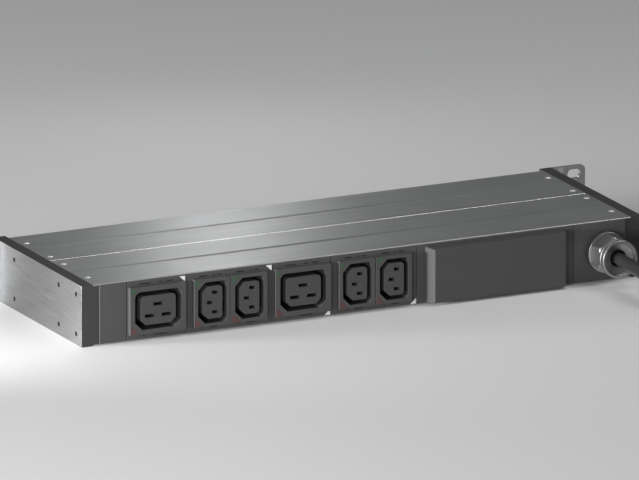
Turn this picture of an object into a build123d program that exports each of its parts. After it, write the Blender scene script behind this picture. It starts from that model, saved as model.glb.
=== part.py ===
from build123d import *
from math import asin, cos, pi, radians, sin, sqrt, tan
import os

# Rack power strip, one rack unit high, with two large and four small outlets on its rear face.
# Millimetres. X runs along the strip, to the right as its outlets are faced; Y runs from the
# outlets (-Y) to the rack ears (+Y); Z is up. The origin is the middle of the underside.

# ---------------------------------------------------------------- driving dimensions: housing
HEIGHT = 43.6
DEPTH = 138.5
BODY_WIDTH = 431.1
SEAM_Y = 1.15  # where the two extrusions meet
WALL = 2.0
WEB = 2.0
LIP = 0.9  # wall left outside the plates
SHOULDER = 1.75  # depth of the seat that the plates rest in
FIT = 0.1  # between a plate and its seat
EDGE_R = 0.8
SEAM_R = 0.45
GROOVE_W = 6.6
GROOVE_D = 0.6

# ---------------------------------------------------------------- end brackets and rack ears
BRACKET_T = 8.8
BRACKET_SIDE = 3.0
BRACKET_RIM = 3.0
FLANGE_W = 13.15  # bracket's width on the rear face
FLANGE_BACK = 3.4
TONGUE_L = 10.5
TONGUE_T = 4.0
EAR_GAP = 2.3  # from the extrusion's front edge to the ear's mounting face
EAR_T = 3.0
EAR_CORNER_R = 3.5
EAR_FILLET_R = 10.0
PANEL_WIDTH = 482.6
SLOT_PITCH_X = 465.1
SLOT_PITCH_Z = 31.75
SLOT_L = 10.3
SLOT_W = 6.8
SIDE_HOLE_R = 1.75
SIDE_HOLE_PITCH = 28.2
SIDE_HOLE_SETBACK = 8.9  # first pair, from the rear face
SIDE_HOLE_FAR = 109.6  # third pair, from the rear face
BRACKET_EDGE = 0.4

# ---------------------------------------------------------------- housing screws
SCREW_HEAD_D = 4.4
SCREW_SHANK_D = 2.5
SCREW_HEAD_H = 1.2
SCREW_L = 5.5
SCREW_CLEAR = 0.08
SCREW_HEX = 1.5
SCREW_HEX_DEPTH = 0.7
SCREW_INSET = 5.3  # from the extrusion's end
SCREW_NEAR = 10.9  # rows each side of the middle of the depth
SCREW_FAR = 49.6

# ---------------------------------------------------------------- rear plates
PLATE_T = 2.6
PLATE_PROUD = PLATE_T - SHOULDER
PLATE_EDGE_R = 0.3
JOINT_GAP = 0.4
BLANK_PITCH = 20.9
C19_PITCH = 44.9
C13_PAIR_PITCH = 66.1
GLAND_PITCH = 40.7
COVER_MARGIN = 13.3  # connection cover is this much narrower than its plate's pitch
COVER_H = 39.6
COVER_Z = 21.4
COVER_OUT = 8.8
COVER_WALL = 1.8
COVER_END_SLOPE = 3.2
COVER_TOP_SLOPE = 0.6
COVER_EDGE_R = 0.9
WINDOW_MARGIN = 4.0

# ---------------------------------------------------------------- outlets
OUTLET_PROUD = 3.4
BEZEL_H = 34.4
BEZEL_CORNER_R = 0.8
BEZEL_EDGE_R = 0.3
TUBE_FIT = 0.15
TUBE_L = 26.1  # behind the plate's face
WELL_DEPTH = 21.5
CORE_FIT = 0.15
C13_PITCH = 28.3
C19_BEZEL_W = 42.8
C19_TUBE = (39.0, 31.0)
C19_WELL = (35.6, 27.2)
C19_CORE = (26.4, 20.6)
C13_BEZEL_W = 27.9
C13_TUBE = (25.2, 32.4)
C13_WELL = (22.1, 29.4)
C13_CORE = (14.9, 23.2)
C19_ROUND, C19_CHAMFER = 4.5, 5.5
C19_CORE_ROUND, C19_CORE_CHAMFER = 3.0, 3.5
C13_ROUND, C13_CHAMFER = 3.5, 5.5
C13_CORE_ROUND, C13_CORE_CHAMFER = 2.5, 4.0
LATCH_W = 2.3
LATCH_H = 6.0
LATCH_DEPTH = 5.2  # from the outlet's face
LATCH_CUT = 1.0
LENS_LEG = 5.5
LENS_INSET = 0.9
LENS_FIT = 0.1
MARKER_W = 4.3
MARKER_H = 3.9
MARKER_T = 0.3
MARKER_INSET = 0.35

# ---------------------------------------------------------------- contacts
C19_SLOT = (7.6, 2.4)
C13_SLOT = (4.6, 2.3)
C19_PINS = {"line": (6.45, -4.0), "neutral": (-6.45, -4.0), "earth": (0.0, 4.0)}
C13_PINS = {"line": (2.0, -7.0), "neutral": (2.0, 7.0), "earth": (-2.0, 0.0)}
SLOT_FACE = 4.5  # wall in front of the contacts
SLEEVE_WALL = 0.5
SLEEVE_FIT = 0.1
TAIL_W = 4.0
TAIL_T = 0.8

# ---------------------------------------------------------------- bus bars and terminals
BAR_T = 1.0
NEUTRAL_BEHIND = 10.0  # behind the outlets
EARTH_BEHIND = 16.0
NEUTRAL_BAR_Z = (27.5, 33.5)
EARTH_BAR_Z = (20.5, 27.0)
NEUTRAL_END = 10.0  # past the first outlet's middle
EARTH_END = 22.0
HOLDER_W = 8.0
HOLDER_MARGIN = 3.0
HOLDER_TOP = 36.0
HOLDER_FIT = 0.1
STUD_AF = 7.0
STUD_INSET = 6.0
TERMINAL_OFFSET = 3.7
TERMINAL_W = 22.0
TERMINAL_D = 22.0
TERMINAL_TOP = 34.0
TERMINAL_SETBACK = 31.0  # its near face, from the rear face
POLE_PITCH = 7.0
POLE_Z = 18.0
POLE_WELL_R = 2.4
POLE_WELL_DEPTH = 6.0
CORE_WIRE_R = 1.6
CORE_SPREAD = 2.1
CORE_ANGLES = (210, 90, 330)  # round the cable's axis, in the order of the poles
CORE_LEAD = 5.0

# ---------------------------------------------------------------- front cavity
WIRE_R = 1.75
WIRE_START = 6.0  # behind the outlets
GROMMET_BORE = 1.9
GROMMET_R = 4.4
GROMMET_LIP_R = 5.6
GROMMET_LIP_T = 0.9
GROMMET_HOLE_R = 4.5
BOARD_T = 1.6
STANDOFF_H = 6.0
STANDOFF_R = 3.0
BOARD_CLEAR = 2.0  # from the grommets to the power board
BOARD_MARGIN = 12.0  # from the opening's end to the boards
RELAY_W = 15.0
RELAY_H = 15.7
RELAY_AT = (10.85, 29.85)  # from the seam
SENSOR_BORE = 2.3
SENSOR_L = 4.5
SENSOR_BACK = 0.6  # gap between a sensor and its relay
LINE_BAR_T = 1.2
LINE_BAR_H = 8.0
LINE_BAR_END = 10.0
FEED_Z = 14.0
CONTROL_BEHIND = 14.4  # from the front panel to the control board
CONTROL_BOARD_L = 172.0
CONTROL_BOARD_Z = (5.0, 39.0)
CONTROL_GAP = 3.0
SUPPLY_FRONT = 6.2
SUPPLY_DEPTH = 22.0
SUPPLY_TOP = 36.0
SUPPLY_CLEAR = 1.5

# ---------------------------------------------------------------- front face
DISPLAY_X = 52.4  # from the opening's left end
DISPLAY_W, DISPLAY_H = 56.0, 22.0
DISPLAY_LEDGE = 2.0
DISPLAY_GLASS_T = 1.6
DISPLAY_FIT = 0.15
DISPLAY_BODY_T = 10.0
DISPLAY_INSET = 3.0
KEY_X = (97.4, 109.4, 121.4)
KEY_SIZE = 6.6
KEY_CLEAR = 0.3
KEY_PROUD = 1.2
KEY_FLANGE = 8.4
KEY_FLANGE_T = 1.2
KEY_TRAVEL = 1.0
KEY_STOP = 0.5
SWITCH_SIZE = 6.0
PORT_X = 157.4
PORT_W, PORT_H = 16.0, 13.4
PORT_WALL = 1.0
PORT_HOLE = (11.8, 8.2)
PORT_DEPTH = 13.0
PORT_FIT = 0.2

# ---------------------------------------------------------------- cable gland
CABLE_D = 9.0
GLAND_OFFSET = 3.65  # from the middle of its plate
GLAND_HOLE_CLEAR = 0.2
GLAND_THREAD_R = 9.95
GLAND_BORE_R = 7.6
GLAND_FLANGE_R = 14.5
GLAND_FLANGE_T = 3.6
GLAND_WASHER_R = 13.0
GLAND_WASHER_T = 1.5
GLAND_SPIGOT = 12.0  # thread length inside the housing
GLAND_NOSE = 9.6  # thread length under the nut
LOCKNUT_AF = 26.0
LOCKNUT_T = 4.5
NUT_AF = 24.0
NUT_HEX_L = 11.8
NUT_GAP = 0.3
NUT_THREAD_CLEAR = 0.3
NUT_HORN_L = 8.4
NUT_HORN_R = 13.5
NUT_WAIST_R = 12.5
NUT_RIM_R = 1.6
NUT_THROAT_CLEAR = 0.9  # round the cable
NUT_MOUTH_R = 11.3
NUT_FLARE_BEND = 0.27  # how far the flare's middle stands from the mouth, as a share
NUT_STEP_LAP = 2.0
SEAL_CLEAR = 0.05
SEAL_L = 7.0
STUB_INSET = 0.8  # from the gland's tip in to where the sheath stub starts

# ---------------------------------------------------------------- supply cable, past the gland
CORD_POINTS = [
    (185.7, -84.0, 21.8),
    (185.7, -134.0, 21.8),
    (189.3, -170.0, 8.0),
    (200.5, -200.5, 5.5),
]
COIL_CENTRE = (262.0, -178.0)
COIL_R = 65.5  # outermost turn, at the middle of the cable
COIL_COLUMNS = 4.6
COIL_LAYERS = 2
COIL_LIFT = 1.0  # the tie passes under the coil
TAIL_POINTS = [
    (323.6, -155.6, 14.5),
    (314.0, -129.3, 14.5),
    (306.8, -102.3, 19.5),
    (302.6, -78.6, 19.5),
]
TIE_ANGLE = 270.0
TIE_W = 12.0
TIE_T = 0.9
TIE_CLEAR = 0.05

# ---------------------------------------------------------------- mains plug
PLUG_R = 19.5
PLUG_NECK_R = 7.0
PLUG_NECK_L = 16.0
PLUG_BODY_L = 36.0
PLUG_WAIST_R = 14.0
PLUG_PIN_R = 2.4
PLUG_PIN_L = 19.0
PLUG_PIN_PITCH = 19.0
PLUG_PIN_SEAT = 8.0
PLUG_EARTH_W = 6.0
PLUG_EARTH_DEPTH = 2.2

# ---------------------------------------------------------------- worked out from the above
MID_Z = HEIGHT / 2
REAR = -DEPTH / 2
FRONT = DEPTH / 2
HALF = BODY_WIDTH / 2
PROFILE_HALF = HALF - BRACKET_T
OPEN_HALF = HALF - FLANGE_W
PLATE_FACE = REAR - PLATE_PROUD
PLATE_BACK = REAR + SHOULDER
PLATE_Z0 = LIP + FIT
PLATE_Z1 = HEIGHT - LIP - FIT
OUTLET_FACE = PLATE_FACE - OUTLET_PROUD
OUTLET_BACK = PLATE_FACE + TUBE_L
WELL_FLOOR = OUTLET_FACE + WELL_DEPTH
WEB_REAR = SEAM_Y - WEB
WEB_FRONT = SEAM_Y + WEB
NEUTRAL_Y = OUTLET_BACK + NEUTRAL_BEHIND
EARTH_Y = OUTLET_BACK + EARTH_BEHIND
WIRE_Y = OUTLET_BACK + WIRE_START
BOARD_Z = WALL + STANDOFF_H
BOARD_TOP = BOARD_Z + BOARD_T
RELAY_Y0 = SEAM_Y + RELAY_AT[0]
RELAY_Y1 = SEAM_Y + RELAY_AT[1]
PANEL_BACK = FRONT - SHOULDER
PANEL_FACE = FRONT + PLATE_PROUD
CONTROL_Y1 = PANEL_BACK - CONTROL_BEHIND
CONTROL_Y0 = CONTROL_Y1 - BOARD_T

MODULE_PITCHES = [BLANK_PITCH, C19_PITCH, C13_PAIR_PITCH, C19_PITCH, C13_PAIR_PITCH]
EDGES = [-OPEN_HALF]
for pitch in MODULE_PITCHES:
    EDGES.append(EDGES[-1] + pitch)
COVER_X0 = EDGES[-1]
COVER_X1 = OPEN_HALF - GLAND_PITCH
COVER_X = (COVER_X0 + COVER_X1) / 2
COVER_L = COVER_X1 - COVER_X0 - COVER_MARGIN
GLAND_X = (COVER_X1 + OPEN_HALF) / 2 + GLAND_OFFSET
C19_X = [(EDGES[1] + EDGES[2]) / 2, (EDGES[3] + EDGES[4]) / 2]
PAIR_X = [(EDGES[2] + EDGES[3]) / 2, (EDGES[4] + EDGES[5]) / 2]
C13_X = [x + side * C13_PITCH / 2 for x in PAIR_X for side in (-1, 1)]
TERMINAL_X = GLAND_X - TERMINAL_OFFSET
TERMINAL_Y0 = REAR + TERMINAL_SETBACK
FEED_X = TERMINAL_X - POLE_PITCH
CABLE_R = CABLE_D / 2
NUT_THROAT_R = CABLE_R + NUT_THROAT_CLEAR


# ---------------------------------------------------------------- small makers
def box(x0, x1, y0, y1, z0, z1):
    """Block between two corners."""
    middle = Pos((x0 + x1) / 2, (y0 + y1) / 2, (z0 + z1) / 2)
    return middle * Box(x1 - x0, y1 - y0, z1 - z0)


def rod_y(x, z, radius, y0, y1):
    """Round bar along Y."""
    return Pos(x, (y0 + y1) / 2, z) * Rot(90, 0, 0) * Cylinder(radius, y1 - y0)


def hex_y(x, z, across_flats, y0, y1):
    """Hexagonal bar along Y, one corner up."""
    outline = RegularPolygon(across_flats / 2, 6, major_radius=False, rotation=90)
    return prism_y(Pos(x, z) * outline, y0, y1)


def prism_y(outline, y0, y1):
    """Outline drawn as (X, Z), extruded from y0 to y1."""
    return Pos(0, y1, 0) * extrude(Plane.XZ * outline, y1 - y0, dir=(0, -1, 0))


def spin_y(x, z, points):
    """Full turn of an outline of (radius, y) points about the axis along Y at (x, z)."""
    return Pos(x, 0, z) * revolve(Polygon(*points, align=None), Axis.Y, 360)


def cornered(size, round_r, chamfer_l, chamfered):
    """Rectangle whose chamfered corners are those for which the test says so; the rest are round."""
    outline = Rectangle(*size)
    cut = [v for v in outline.vertices() if chamfered(v)]
    keep = [v for v in outline.vertices() if not chamfered(v)]
    outline = chamfer(cut, chamfer_l)
    near = [v for v in outline.vertices() if any(v.distance_to(k) < FIT for k in keep)]
    return fillet(near, round_r)


def along(path, radius):
    """Round bar along a path."""
    section = Plane(origin=path @ 0, z_dir=path % 0) * Circle(radius)
    return sweep(section, path=path)


def corner_radii(points, share=0.45):
    """Largest soft arc at each corner of a route: a share of the shorter run."""
    radii = []
    for before, corner, after in zip(points, points[1:], points[2:]):
        first = Vector(*corner) - Vector(*before)
        second = Vector(*after) - Vector(*corner)
        turn = radians(first.get_angle(second))
        radii.append(share * min(first.length, second.length) / tan(turn / 2))
    return radii


def save(name, shape):
    """Write one node; a list becomes one node of separate solids."""
    solids = shape if isinstance(shape, list) else [shape]
    group = [solid for item in solids for solid in item.solids()]
    export_step(group[0] if len(group) == 1 else Compound(group), f"parts/{name}.step")


# ---------------------------------------------------------------- housing
def screw_places():
    """(x, y) of the housing screws on the top; the underside has the same."""
    x = PROFILE_HALF - SCREW_INSET
    rows = (-SCREW_FAR, -SCREW_NEAR, SCREW_NEAR, SCREW_FAR)
    return [(side * x, y) for side in (-1, 1) for y in rows]


def outlet_wire_places():
    """(x, z) of each outlet's switched wire."""
    large = [(x + C19_PINS["line"][0], MID_Z + C19_PINS["line"][1]) for x in C19_X]
    small = [(x + C13_PINS["line"][0], MID_Z + C13_PINS["line"][1]) for x in C13_X]
    return large + small


def extrusion(y_open, y_seam, web):
    """Half of the housing: a channel along X, open at y_open and closed by its web at y_seam."""
    inward = 1 if y_seam > y_open else -1
    low, high = min(y_open, y_seam), max(y_open, y_seam)
    outline = Pos((low + high) / 2, MID_Z) * Rectangle(high - low, HEIGHT)
    at_open = [v for v in outline.vertices() if abs(v.X - y_open) < FIT]
    outline = fillet(at_open, EDGE_R)
    at_seam = [v for v in outline.vertices() if abs(v.X - y_seam) < FIT]
    outline = fillet(at_seam, SEAM_R)
    body = extrude(Plane.YZ * outline, PROFILE_HALF, both=True)
    y_web = y_seam - inward * web
    body -= slab_between(y_open, y_web, WALL)
    body -= slab_between(y_open, y_open + inward * SHOULDER, LIP)
    groove_r = (GROOVE_W**2 / 4 + GROOVE_D**2) / (2 * GROOVE_D)
    for z in (HEIGHT + groove_r - GROOVE_D, GROOVE_D - groove_r):
        groove = Pos(0, (low + high) / 2, z) * Rot(0, 90, 0) * Cylinder(groove_r, BODY_WIDTH)
        body -= groove
    for x, y in screw_places():
        if low < y < high:
            body -= countersink(x, y, SCREW_CLEAR, WALL)
    holes = outlet_wire_places() + [(FEED_X, FEED_Z)]
    for x, z in holes:
        body -= rod_y(x, z, GROMMET_HOLE_R, min(y_web, y_seam), max(y_web, y_seam))
    return body


def slab_between(y0, y1, inset):
    """Cutter through the length of the housing, inset from its top and underside."""
    return box(-HALF, HALF, min(y0, y1), max(y0, y1), inset, HEIGHT - inset)


def countersunk_outline(grow, depth):
    """Screw's half section, drawn as (radius, height) from the head's face down."""
    head, shank = SCREW_HEAD_D / 2 + grow, SCREW_SHANK_D / 2 + grow
    return [(0, 0), (head, 0), (shank, -SCREW_HEAD_H), (shank, -depth), (0, -depth)]


def countersink(x, y, grow, depth):
    """Screw shapes at the top and the underside at one place."""
    outline = Polygon(*countersunk_outline(grow, depth), align=None)
    pin = revolve(Plane.XZ * outline, Axis.Z, 360)
    return Pos(x, y, HEIGHT) * pin + Pos(x, y, 0) * Rot(180, 0, 0) * pin


def housing_screws():
    """Countersunk screws with a hexagon recess."""
    outline = Polygon(*countersunk_outline(0, SCREW_L), align=None)
    screw = revolve(Plane.XZ * outline, Axis.Z, 360)
    recess = RegularPolygon(SCREW_HEX / 2, 6, major_radius=False)
    screw -= Pos(0, 0, -SCREW_HEX_DEPTH) * extrude(recess, SCREW_HEX_DEPTH)
    upper = [Pos(x, y, HEIGHT) * screw for x, y in screw_places()]
    lower = [Pos(x, y, 0) * Rot(180, 0, 0) * screw for x, y in screw_places()]
    return upper + lower


def end_bracket():
    """Right end cap with its rack ear; the left one is its mirror image."""
    ear_back = FRONT + EAR_GAP
    ear_front = ear_back + EAR_T
    cap = Pos((PROFILE_HALF + HALF) / 2, (REAR + ear_front) / 2) * Rectangle(
        BRACKET_T, ear_front - REAR
    )
    ear_w = PANEL_WIDTH / 2 - HALF
    ear = Pos(HALF + ear_w / 2, ear_back + EAR_T / 2) * Rectangle(ear_w, EAR_T)
    plan = cap + ear
    inner = [v for v in plan.vertices() if abs(v.X - HALF) < FIT and abs(v.Y - ear_back) < FIT]
    plan = fillet(inner, EAR_FILLET_R)
    body = extrude(plan, HEIGHT)
    tips = body.edges().filter_by(Axis.Y).group_by(Axis.X)[-1]
    body = fillet(tips, EAR_CORNER_R)
    outer = body.faces().sort_by(Axis.Y)[0].edges().sort_by(Axis.X)[-1]
    body = fillet(outer, BRACKET_EDGE)

    body -= box(
        PROFILE_HALF,
        HALF - BRACKET_SIDE,
        REAR + BRACKET_RIM,
        FRONT - BRACKET_RIM,
        BRACKET_RIM,
        HEIGHT - BRACKET_RIM,
    )
    tongue_low = WALL + FIT
    for z in (tongue_low, HEIGHT - tongue_low - TONGUE_T):
        for y0, y1 in ((PLATE_BACK, WEB_REAR - FIT), (WEB_FRONT + FIT, PANEL_BACK)):
            body += box(PROFILE_HALF - TONGUE_L, PROFILE_HALF + BRACKET_RIM, y0, y1, z, z + TONGUE_T)
    for y0, y1, face in (
        (PLATE_BACK, PLATE_BACK + FLANGE_BACK, REAR),
        (PANEL_BACK - FLANGE_BACK, PANEL_BACK, FRONT),
    ):
        body += box(OPEN_HALF, PROFILE_HALF + BRACKET_RIM, y0, y1, tongue_low, HEIGHT - tongue_low)
        seat = y0 if face < 0 else y1
        low, high = min(face, seat), max(face, seat)
        body += box(OPEN_HALF, PROFILE_HALF, low, high, PLATE_Z0, PLATE_Z1)

    for x, y in screw_places():
        if x > 0:
            body -= Pos(x, y, MID_Z) * Cylinder(SCREW_SHANK_D / 2 + SCREW_CLEAR, HEIGHT)
    for dz in (-SLOT_PITCH_Z / 2, SLOT_PITCH_Z / 2):
        slot = Pos(SLOT_PITCH_X / 2, MID_Z + dz) * SlotOverall(SLOT_L, SLOT_W)
        body -= prism_y(slot, ear_back, ear_front)
    for y, dz in side_hole_places():
        hole = Pos(HALF, y, MID_Z + dz) * Rot(0, 90, 0) * Cylinder(SIDE_HOLE_R, 2 * BRACKET_SIDE)
        body -= hole
    return body


def side_hole_places():
    """(y, height from the middle) of a bracket's tapped holes."""
    first = REAR + SIDE_HOLE_SETBACK
    columns = (first, first + SIDE_HOLE_PITCH, REAR + SIDE_HOLE_FAR)
    return [(y, side * SIDE_HOLE_PITCH / 2) for y in columns for side in (-1, 1)]


# ---------------------------------------------------------------- plates on the rear face
def plate(x0, x1):
    """Blank plate between two joints, with softened edges on its face."""
    body = box(
        x0 + JOINT_GAP / 2, x1 - JOINT_GAP / 2, PLATE_FACE, PLATE_BACK, PLATE_Z0, PLATE_Z1
    )
    return fillet(body.faces().sort_by(Axis.Y)[0].edges(), PLATE_EDGE_R)


def tube_hole(x, tube):
    """Cutter for one outlet's tube through its plate."""
    outline = Pos(x, MID_Z) * Rectangle(tube[0] + 2 * TUBE_FIT, tube[1] + 2 * TUBE_FIT)
    return prism_y(outline, PLATE_FACE, PLATE_BACK)


def outlet_plate(x0, x1, centres, tube):
    """Plate with a hole for each outlet's tube."""
    body = plate(x0, x1)
    for x in centres:
        body -= tube_hole(x, tube)
    return body


def cover_plate():
    """Plate behind the connection cover, with its window."""
    body = plate(COVER_X0, COVER_X1)
    half = COVER_L / 2 - COVER_END_SLOPE - COVER_WALL - WINDOW_MARGIN
    low = COVER_Z - COVER_H / 2 + WINDOW_MARGIN
    high = COVER_Z + COVER_H / 2 - WINDOW_MARGIN
    return body - box(COVER_X - half, COVER_X + half, PLATE_FACE, PLATE_BACK, low, high)


def tapered_block(shrink, out):
    """Raised block whose four sides lean in, shrunk all round by a wall."""
    base_l, base_h = COVER_L / 2 - shrink, COVER_H / 2 - shrink
    tip_l, tip_h = base_l - COVER_END_SLOPE, base_h - COVER_TOP_SLOPE
    plan = Polygon((-base_l, 0), (base_l, 0), (tip_l, -out), (-tip_l, -out), align=None)
    side = Polygon((0, -base_h), (0, base_h), (-out, tip_h), (-out, -tip_h), align=None)
    block = extrude(plan, HEIGHT, both=True) & extrude(Plane.YZ * side, COVER_L, both=True)
    return Pos(COVER_X, PLATE_FACE, COVER_Z) * block


def connection_cover():
    """Hollow raised cover, open towards its plate."""
    body = tapered_block(0, COVER_OUT)
    front = body.faces().sort_by(Axis.Y)[0]
    body = fillet(front.edges(), COVER_EDGE_R)
    return body - tapered_block(COVER_WALL, COVER_OUT - COVER_WALL)


def bank_markers():
    """Thin corner triangles: at the top of the first two outlet plates, below on the others."""
    markers = []
    for index, right in enumerate(EDGES[2:6]):
        x = right - JOINT_GAP / 2 - MARKER_INSET
        top = index < 2
        z = PLATE_Z1 - MARKER_INSET if top else PLATE_Z0 + MARKER_INSET
        rise = -MARKER_H if top else MARKER_H
        outline = Polygon((x, z), (x - MARKER_W, z), (x, z + rise), align=None)
        markers.append(prism_y(outline, PLATE_FACE - MARKER_T, PLATE_FACE))
    return markers


# ---------------------------------------------------------------- outlets
def c19_outline(size, round_r, chamfer_l):
    """Large outlet's outline: round above, chamfered below."""
    return cornered(size, round_r, chamfer_l, lambda v: v.Y < 0)


def c13_outline(size, round_r, chamfer_l):
    """Small outlet's outline, turned on its side: chamfered on the left."""
    return cornered(size, round_r, chamfer_l, lambda v: v.X < 0)


def lens_outline(bezel_w, top, grow):
    """Corner triangle for a status lens, seen from the outlet's middle."""
    x = -bezel_w / 2 + LENS_INSET - grow
    z = BEZEL_H / 2 - LENS_INSET + grow
    leg = LENS_LEG + (2 + sqrt(2)) * grow
    sign = 1 if top else -1
    return Polygon((x, sign * z), (x + leg, sign * z), (x, sign * (z - leg)), align=None)


def shroud(x, bezel_w, tube, well):
    """Raised outlet housing: a bezel on its plate and a tube behind it, round the well."""
    outline = Rectangle(bezel_w, BEZEL_H)
    outline = fillet(outline.vertices(), BEZEL_CORNER_R)
    bezel = prism_y(outline, OUTLET_FACE, PLATE_FACE)
    bezel = fillet(bezel.faces().sort_by(Axis.Y)[0].edges(), BEZEL_EDGE_R)
    body = bezel + prism_y(Rectangle(*tube), PLATE_FACE, OUTLET_BACK)
    body -= prism_y(well, OUTLET_FACE, OUTLET_BACK)
    for top in (True, False):
        body -= prism_y(lens_outline(bezel_w, top, LENS_FIT), OUTLET_FACE, PLATE_FACE)
    wall_x = well.bounding_box().max.X
    latch_y = OUTLET_FACE + LATCH_DEPTH
    body -= box(wall_x - FIT, wall_x + LATCH_CUT, latch_y, latch_y + LATCH_W, -LATCH_H / 2, LATCH_H / 2)
    return Pos(x, 0, MID_Z) * body


def outlet_core(x, island, well_size, slot, pins):
    """Island with its pin slots, on a base that closes the well from behind."""
    scale_x = (well_size[0] - 2 * CORE_FIT) / well_size[0]
    scale_z = (well_size[1] - 2 * CORE_FIT) / well_size[1]
    outline, base = island
    body = prism_y(outline, OUTLET_FACE, WELL_FLOOR)
    body += prism_y(scale(base, (scale_x, scale_z, 1)), WELL_FLOOR, OUTLET_BACK)
    sleeve_w = slot[0] + 2 * (SLEEVE_WALL + 2 * SLEEVE_FIT)
    sleeve_h = slot[1] + 2 * (SLEEVE_WALL + 2 * SLEEVE_FIT)
    for dx, dz in pins.values():
        body -= prism_y(Pos(dx, dz) * Rectangle(*slot), OUTLET_FACE, OUTLET_BACK)
        chamber = Pos(dx, dz) * Rectangle(sleeve_w, sleeve_h)
        body -= prism_y(chamber, OUTLET_FACE + SLOT_FACE, OUTLET_BACK)
    return Pos(x, 0, MID_Z) * body


def contact(x, slot, pin, tail_end):
    """Contact sleeve with a closed back and a tail that runs to tail_end."""
    dx, dz = pin
    inner = (slot[0] + 2 * SLEEVE_FIT, slot[1] + 2 * SLEEVE_FIT)
    outer = (inner[0] + 2 * SLEEVE_WALL, inner[1] + 2 * SLEEVE_WALL)
    start, back = OUTLET_FACE + SLOT_FACE + FIT, OUTLET_BACK
    at = Pos(dx, dz)
    body = prism_y(at * Rectangle(*outer), start, back)
    body -= prism_y(at * Rectangle(*inner), start, back - SLEEVE_WALL)
    body += prism_y(at * Rectangle(TAIL_W, TAIL_T), back, tail_end)
    return Pos(x, 0, MID_Z) * body


def contacts(centres, slot, pins):
    """All the contacts of one kind of outlet."""
    ends = {"line": WIRE_Y, "neutral": NEUTRAL_Y, "earth": EARTH_Y}
    return [contact(x, slot, pins[use], ends[use]) for x in centres for use in ends]


def lenses(top):
    """Status lenses of every outlet, above or below."""
    solids = []
    for centres, bezel_w in ((C19_X, C19_BEZEL_W), (C13_X, C13_BEZEL_W)):
        prism = prism_y(lens_outline(bezel_w, top, 0), OUTLET_FACE, PLATE_FACE)
        solids += [Pos(x, 0, MID_Z) * prism for x in centres]
    return solids


# ---------------------------------------------------------------- wiring in the rear cavity
def neutral_bus_bar():
    """Bar behind the outlets, with a leg down to each large outlet's contact."""
    left = C19_X[0] - NEUTRAL_END
    low, high = NEUTRAL_BAR_Z
    body = box(left, TERMINAL_X - TERMINAL_W / 2, NEUTRAL_Y, NEUTRAL_Y + BAR_T, low, high)
    dx, dz = C19_PINS["neutral"]
    for x in C19_X:
        body += box(
            x + dx - TAIL_W / 2,
            x + dx + TAIL_W / 2,
            NEUTRAL_Y,
            NEUTRAL_Y + BAR_T,
            MID_Z + dz - TAIL_T / 2,
            low,
        )
    return body


def earth_bus_bar():
    """Bar behind the outlets for the protective earth."""
    left = C19_X[0] - EARTH_END
    return box(
        left, TERMINAL_X - TERMINAL_W / 2, EARTH_Y, EARTH_Y + BAR_T, EARTH_BAR_Z[0], EARTH_BAR_Z[1]
    )


def bus_bar_holders():
    """Insulating posts between the outlet groups that carry both bars."""
    places = (EDGES[2], EDGES[4], COVER_X)
    solids = []
    for x in places:
        post = box(
            x - HOLDER_W / 2,
            x + HOLDER_W / 2,
            NEUTRAL_Y - HOLDER_MARGIN,
            EARTH_Y + BAR_T + HOLDER_MARGIN,
            WALL,
            HOLDER_TOP,
        )
        for y, (low, high) in ((NEUTRAL_Y, NEUTRAL_BAR_Z), (EARTH_Y, EARTH_BAR_Z)):
            post -= box(
                x - HOLDER_W,
                x + HOLDER_W,
                y - HOLDER_FIT,
                y + BAR_T + HOLDER_FIT,
                low - HOLDER_FIT,
                HEIGHT,
            )
        solids.append(post)
    return solids


def earth_stud():
    """Hexagonal pillar that joins the earth bar to the housing's web."""
    x = C19_X[0] - EARTH_END + STUD_INSET
    z = (EARTH_BAR_Z[0] + EARTH_BAR_Z[1]) / 2
    return hex_y(x, z, STUD_AF, EARTH_Y + BAR_T, WEB_REAR)


def terminal_block():
    """Three-pole terminal block on the housing's floor, with a screw well over each pole."""
    body = box(
        TERMINAL_X - TERMINAL_W / 2,
        TERMINAL_X + TERMINAL_W / 2,
        TERMINAL_Y0,
        TERMINAL_Y0 + TERMINAL_D,
        WALL,
        TERMINAL_TOP,
    )
    for step in (-1, 0, 1):
        well = Cylinder(POLE_WELL_R, POLE_WELL_DEPTH)
        x = TERMINAL_X + step * POLE_PITCH
        y = TERMINAL_Y0 + TERMINAL_D / 2
        body -= Pos(x, y, TERMINAL_TOP - POLE_WELL_DEPTH / 2) * well
    return body


def cable_stub_end():
    """Where the cable's sheath stops inside the housing."""
    return PLATE_FACE + GLAND_SPIGOT + FIT


def cable_cores():
    """Sheath stub inside the gland and the three cores that run on to the terminal block."""
    stub_end = cable_stub_end()
    solids = [rod_y(GLAND_X, MID_Z, CABLE_R, GLAND_TIP + STUB_INSET, stub_end)]
    for step, angle in zip((-1, 0, 1), CORE_ANGLES):
        start_x = GLAND_X + CORE_SPREAD * cos(radians(angle))
        start_z = MID_Z + CORE_SPREAD * sin(radians(angle))
        end_x = TERMINAL_X + step * POLE_PITCH
        points = [
            (start_x, stub_end, start_z),
            (start_x, stub_end + CORE_LEAD, start_z),
            (end_x, TERMINAL_Y0 - CORE_LEAD, POLE_Z),
            (end_x, TERMINAL_Y0, POLE_Z),
        ]
        solids.append(along(FilletPolyline(*points, radius=corner_radii(points)), CORE_WIRE_R))
    return solids


def internal_wires():
    """Switched wire of each outlet, and the feed from the terminal block to the line bar."""
    solids = [rod_y(x, z, WIRE_R, WIRE_Y, RELAY_Y0) for x, z in outlet_wire_places()]
    solids.append(rod_y(FEED_X, FEED_Z, WIRE_R, TERMINAL_Y0 + TERMINAL_D, RELAY_Y1))
    return solids


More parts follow.
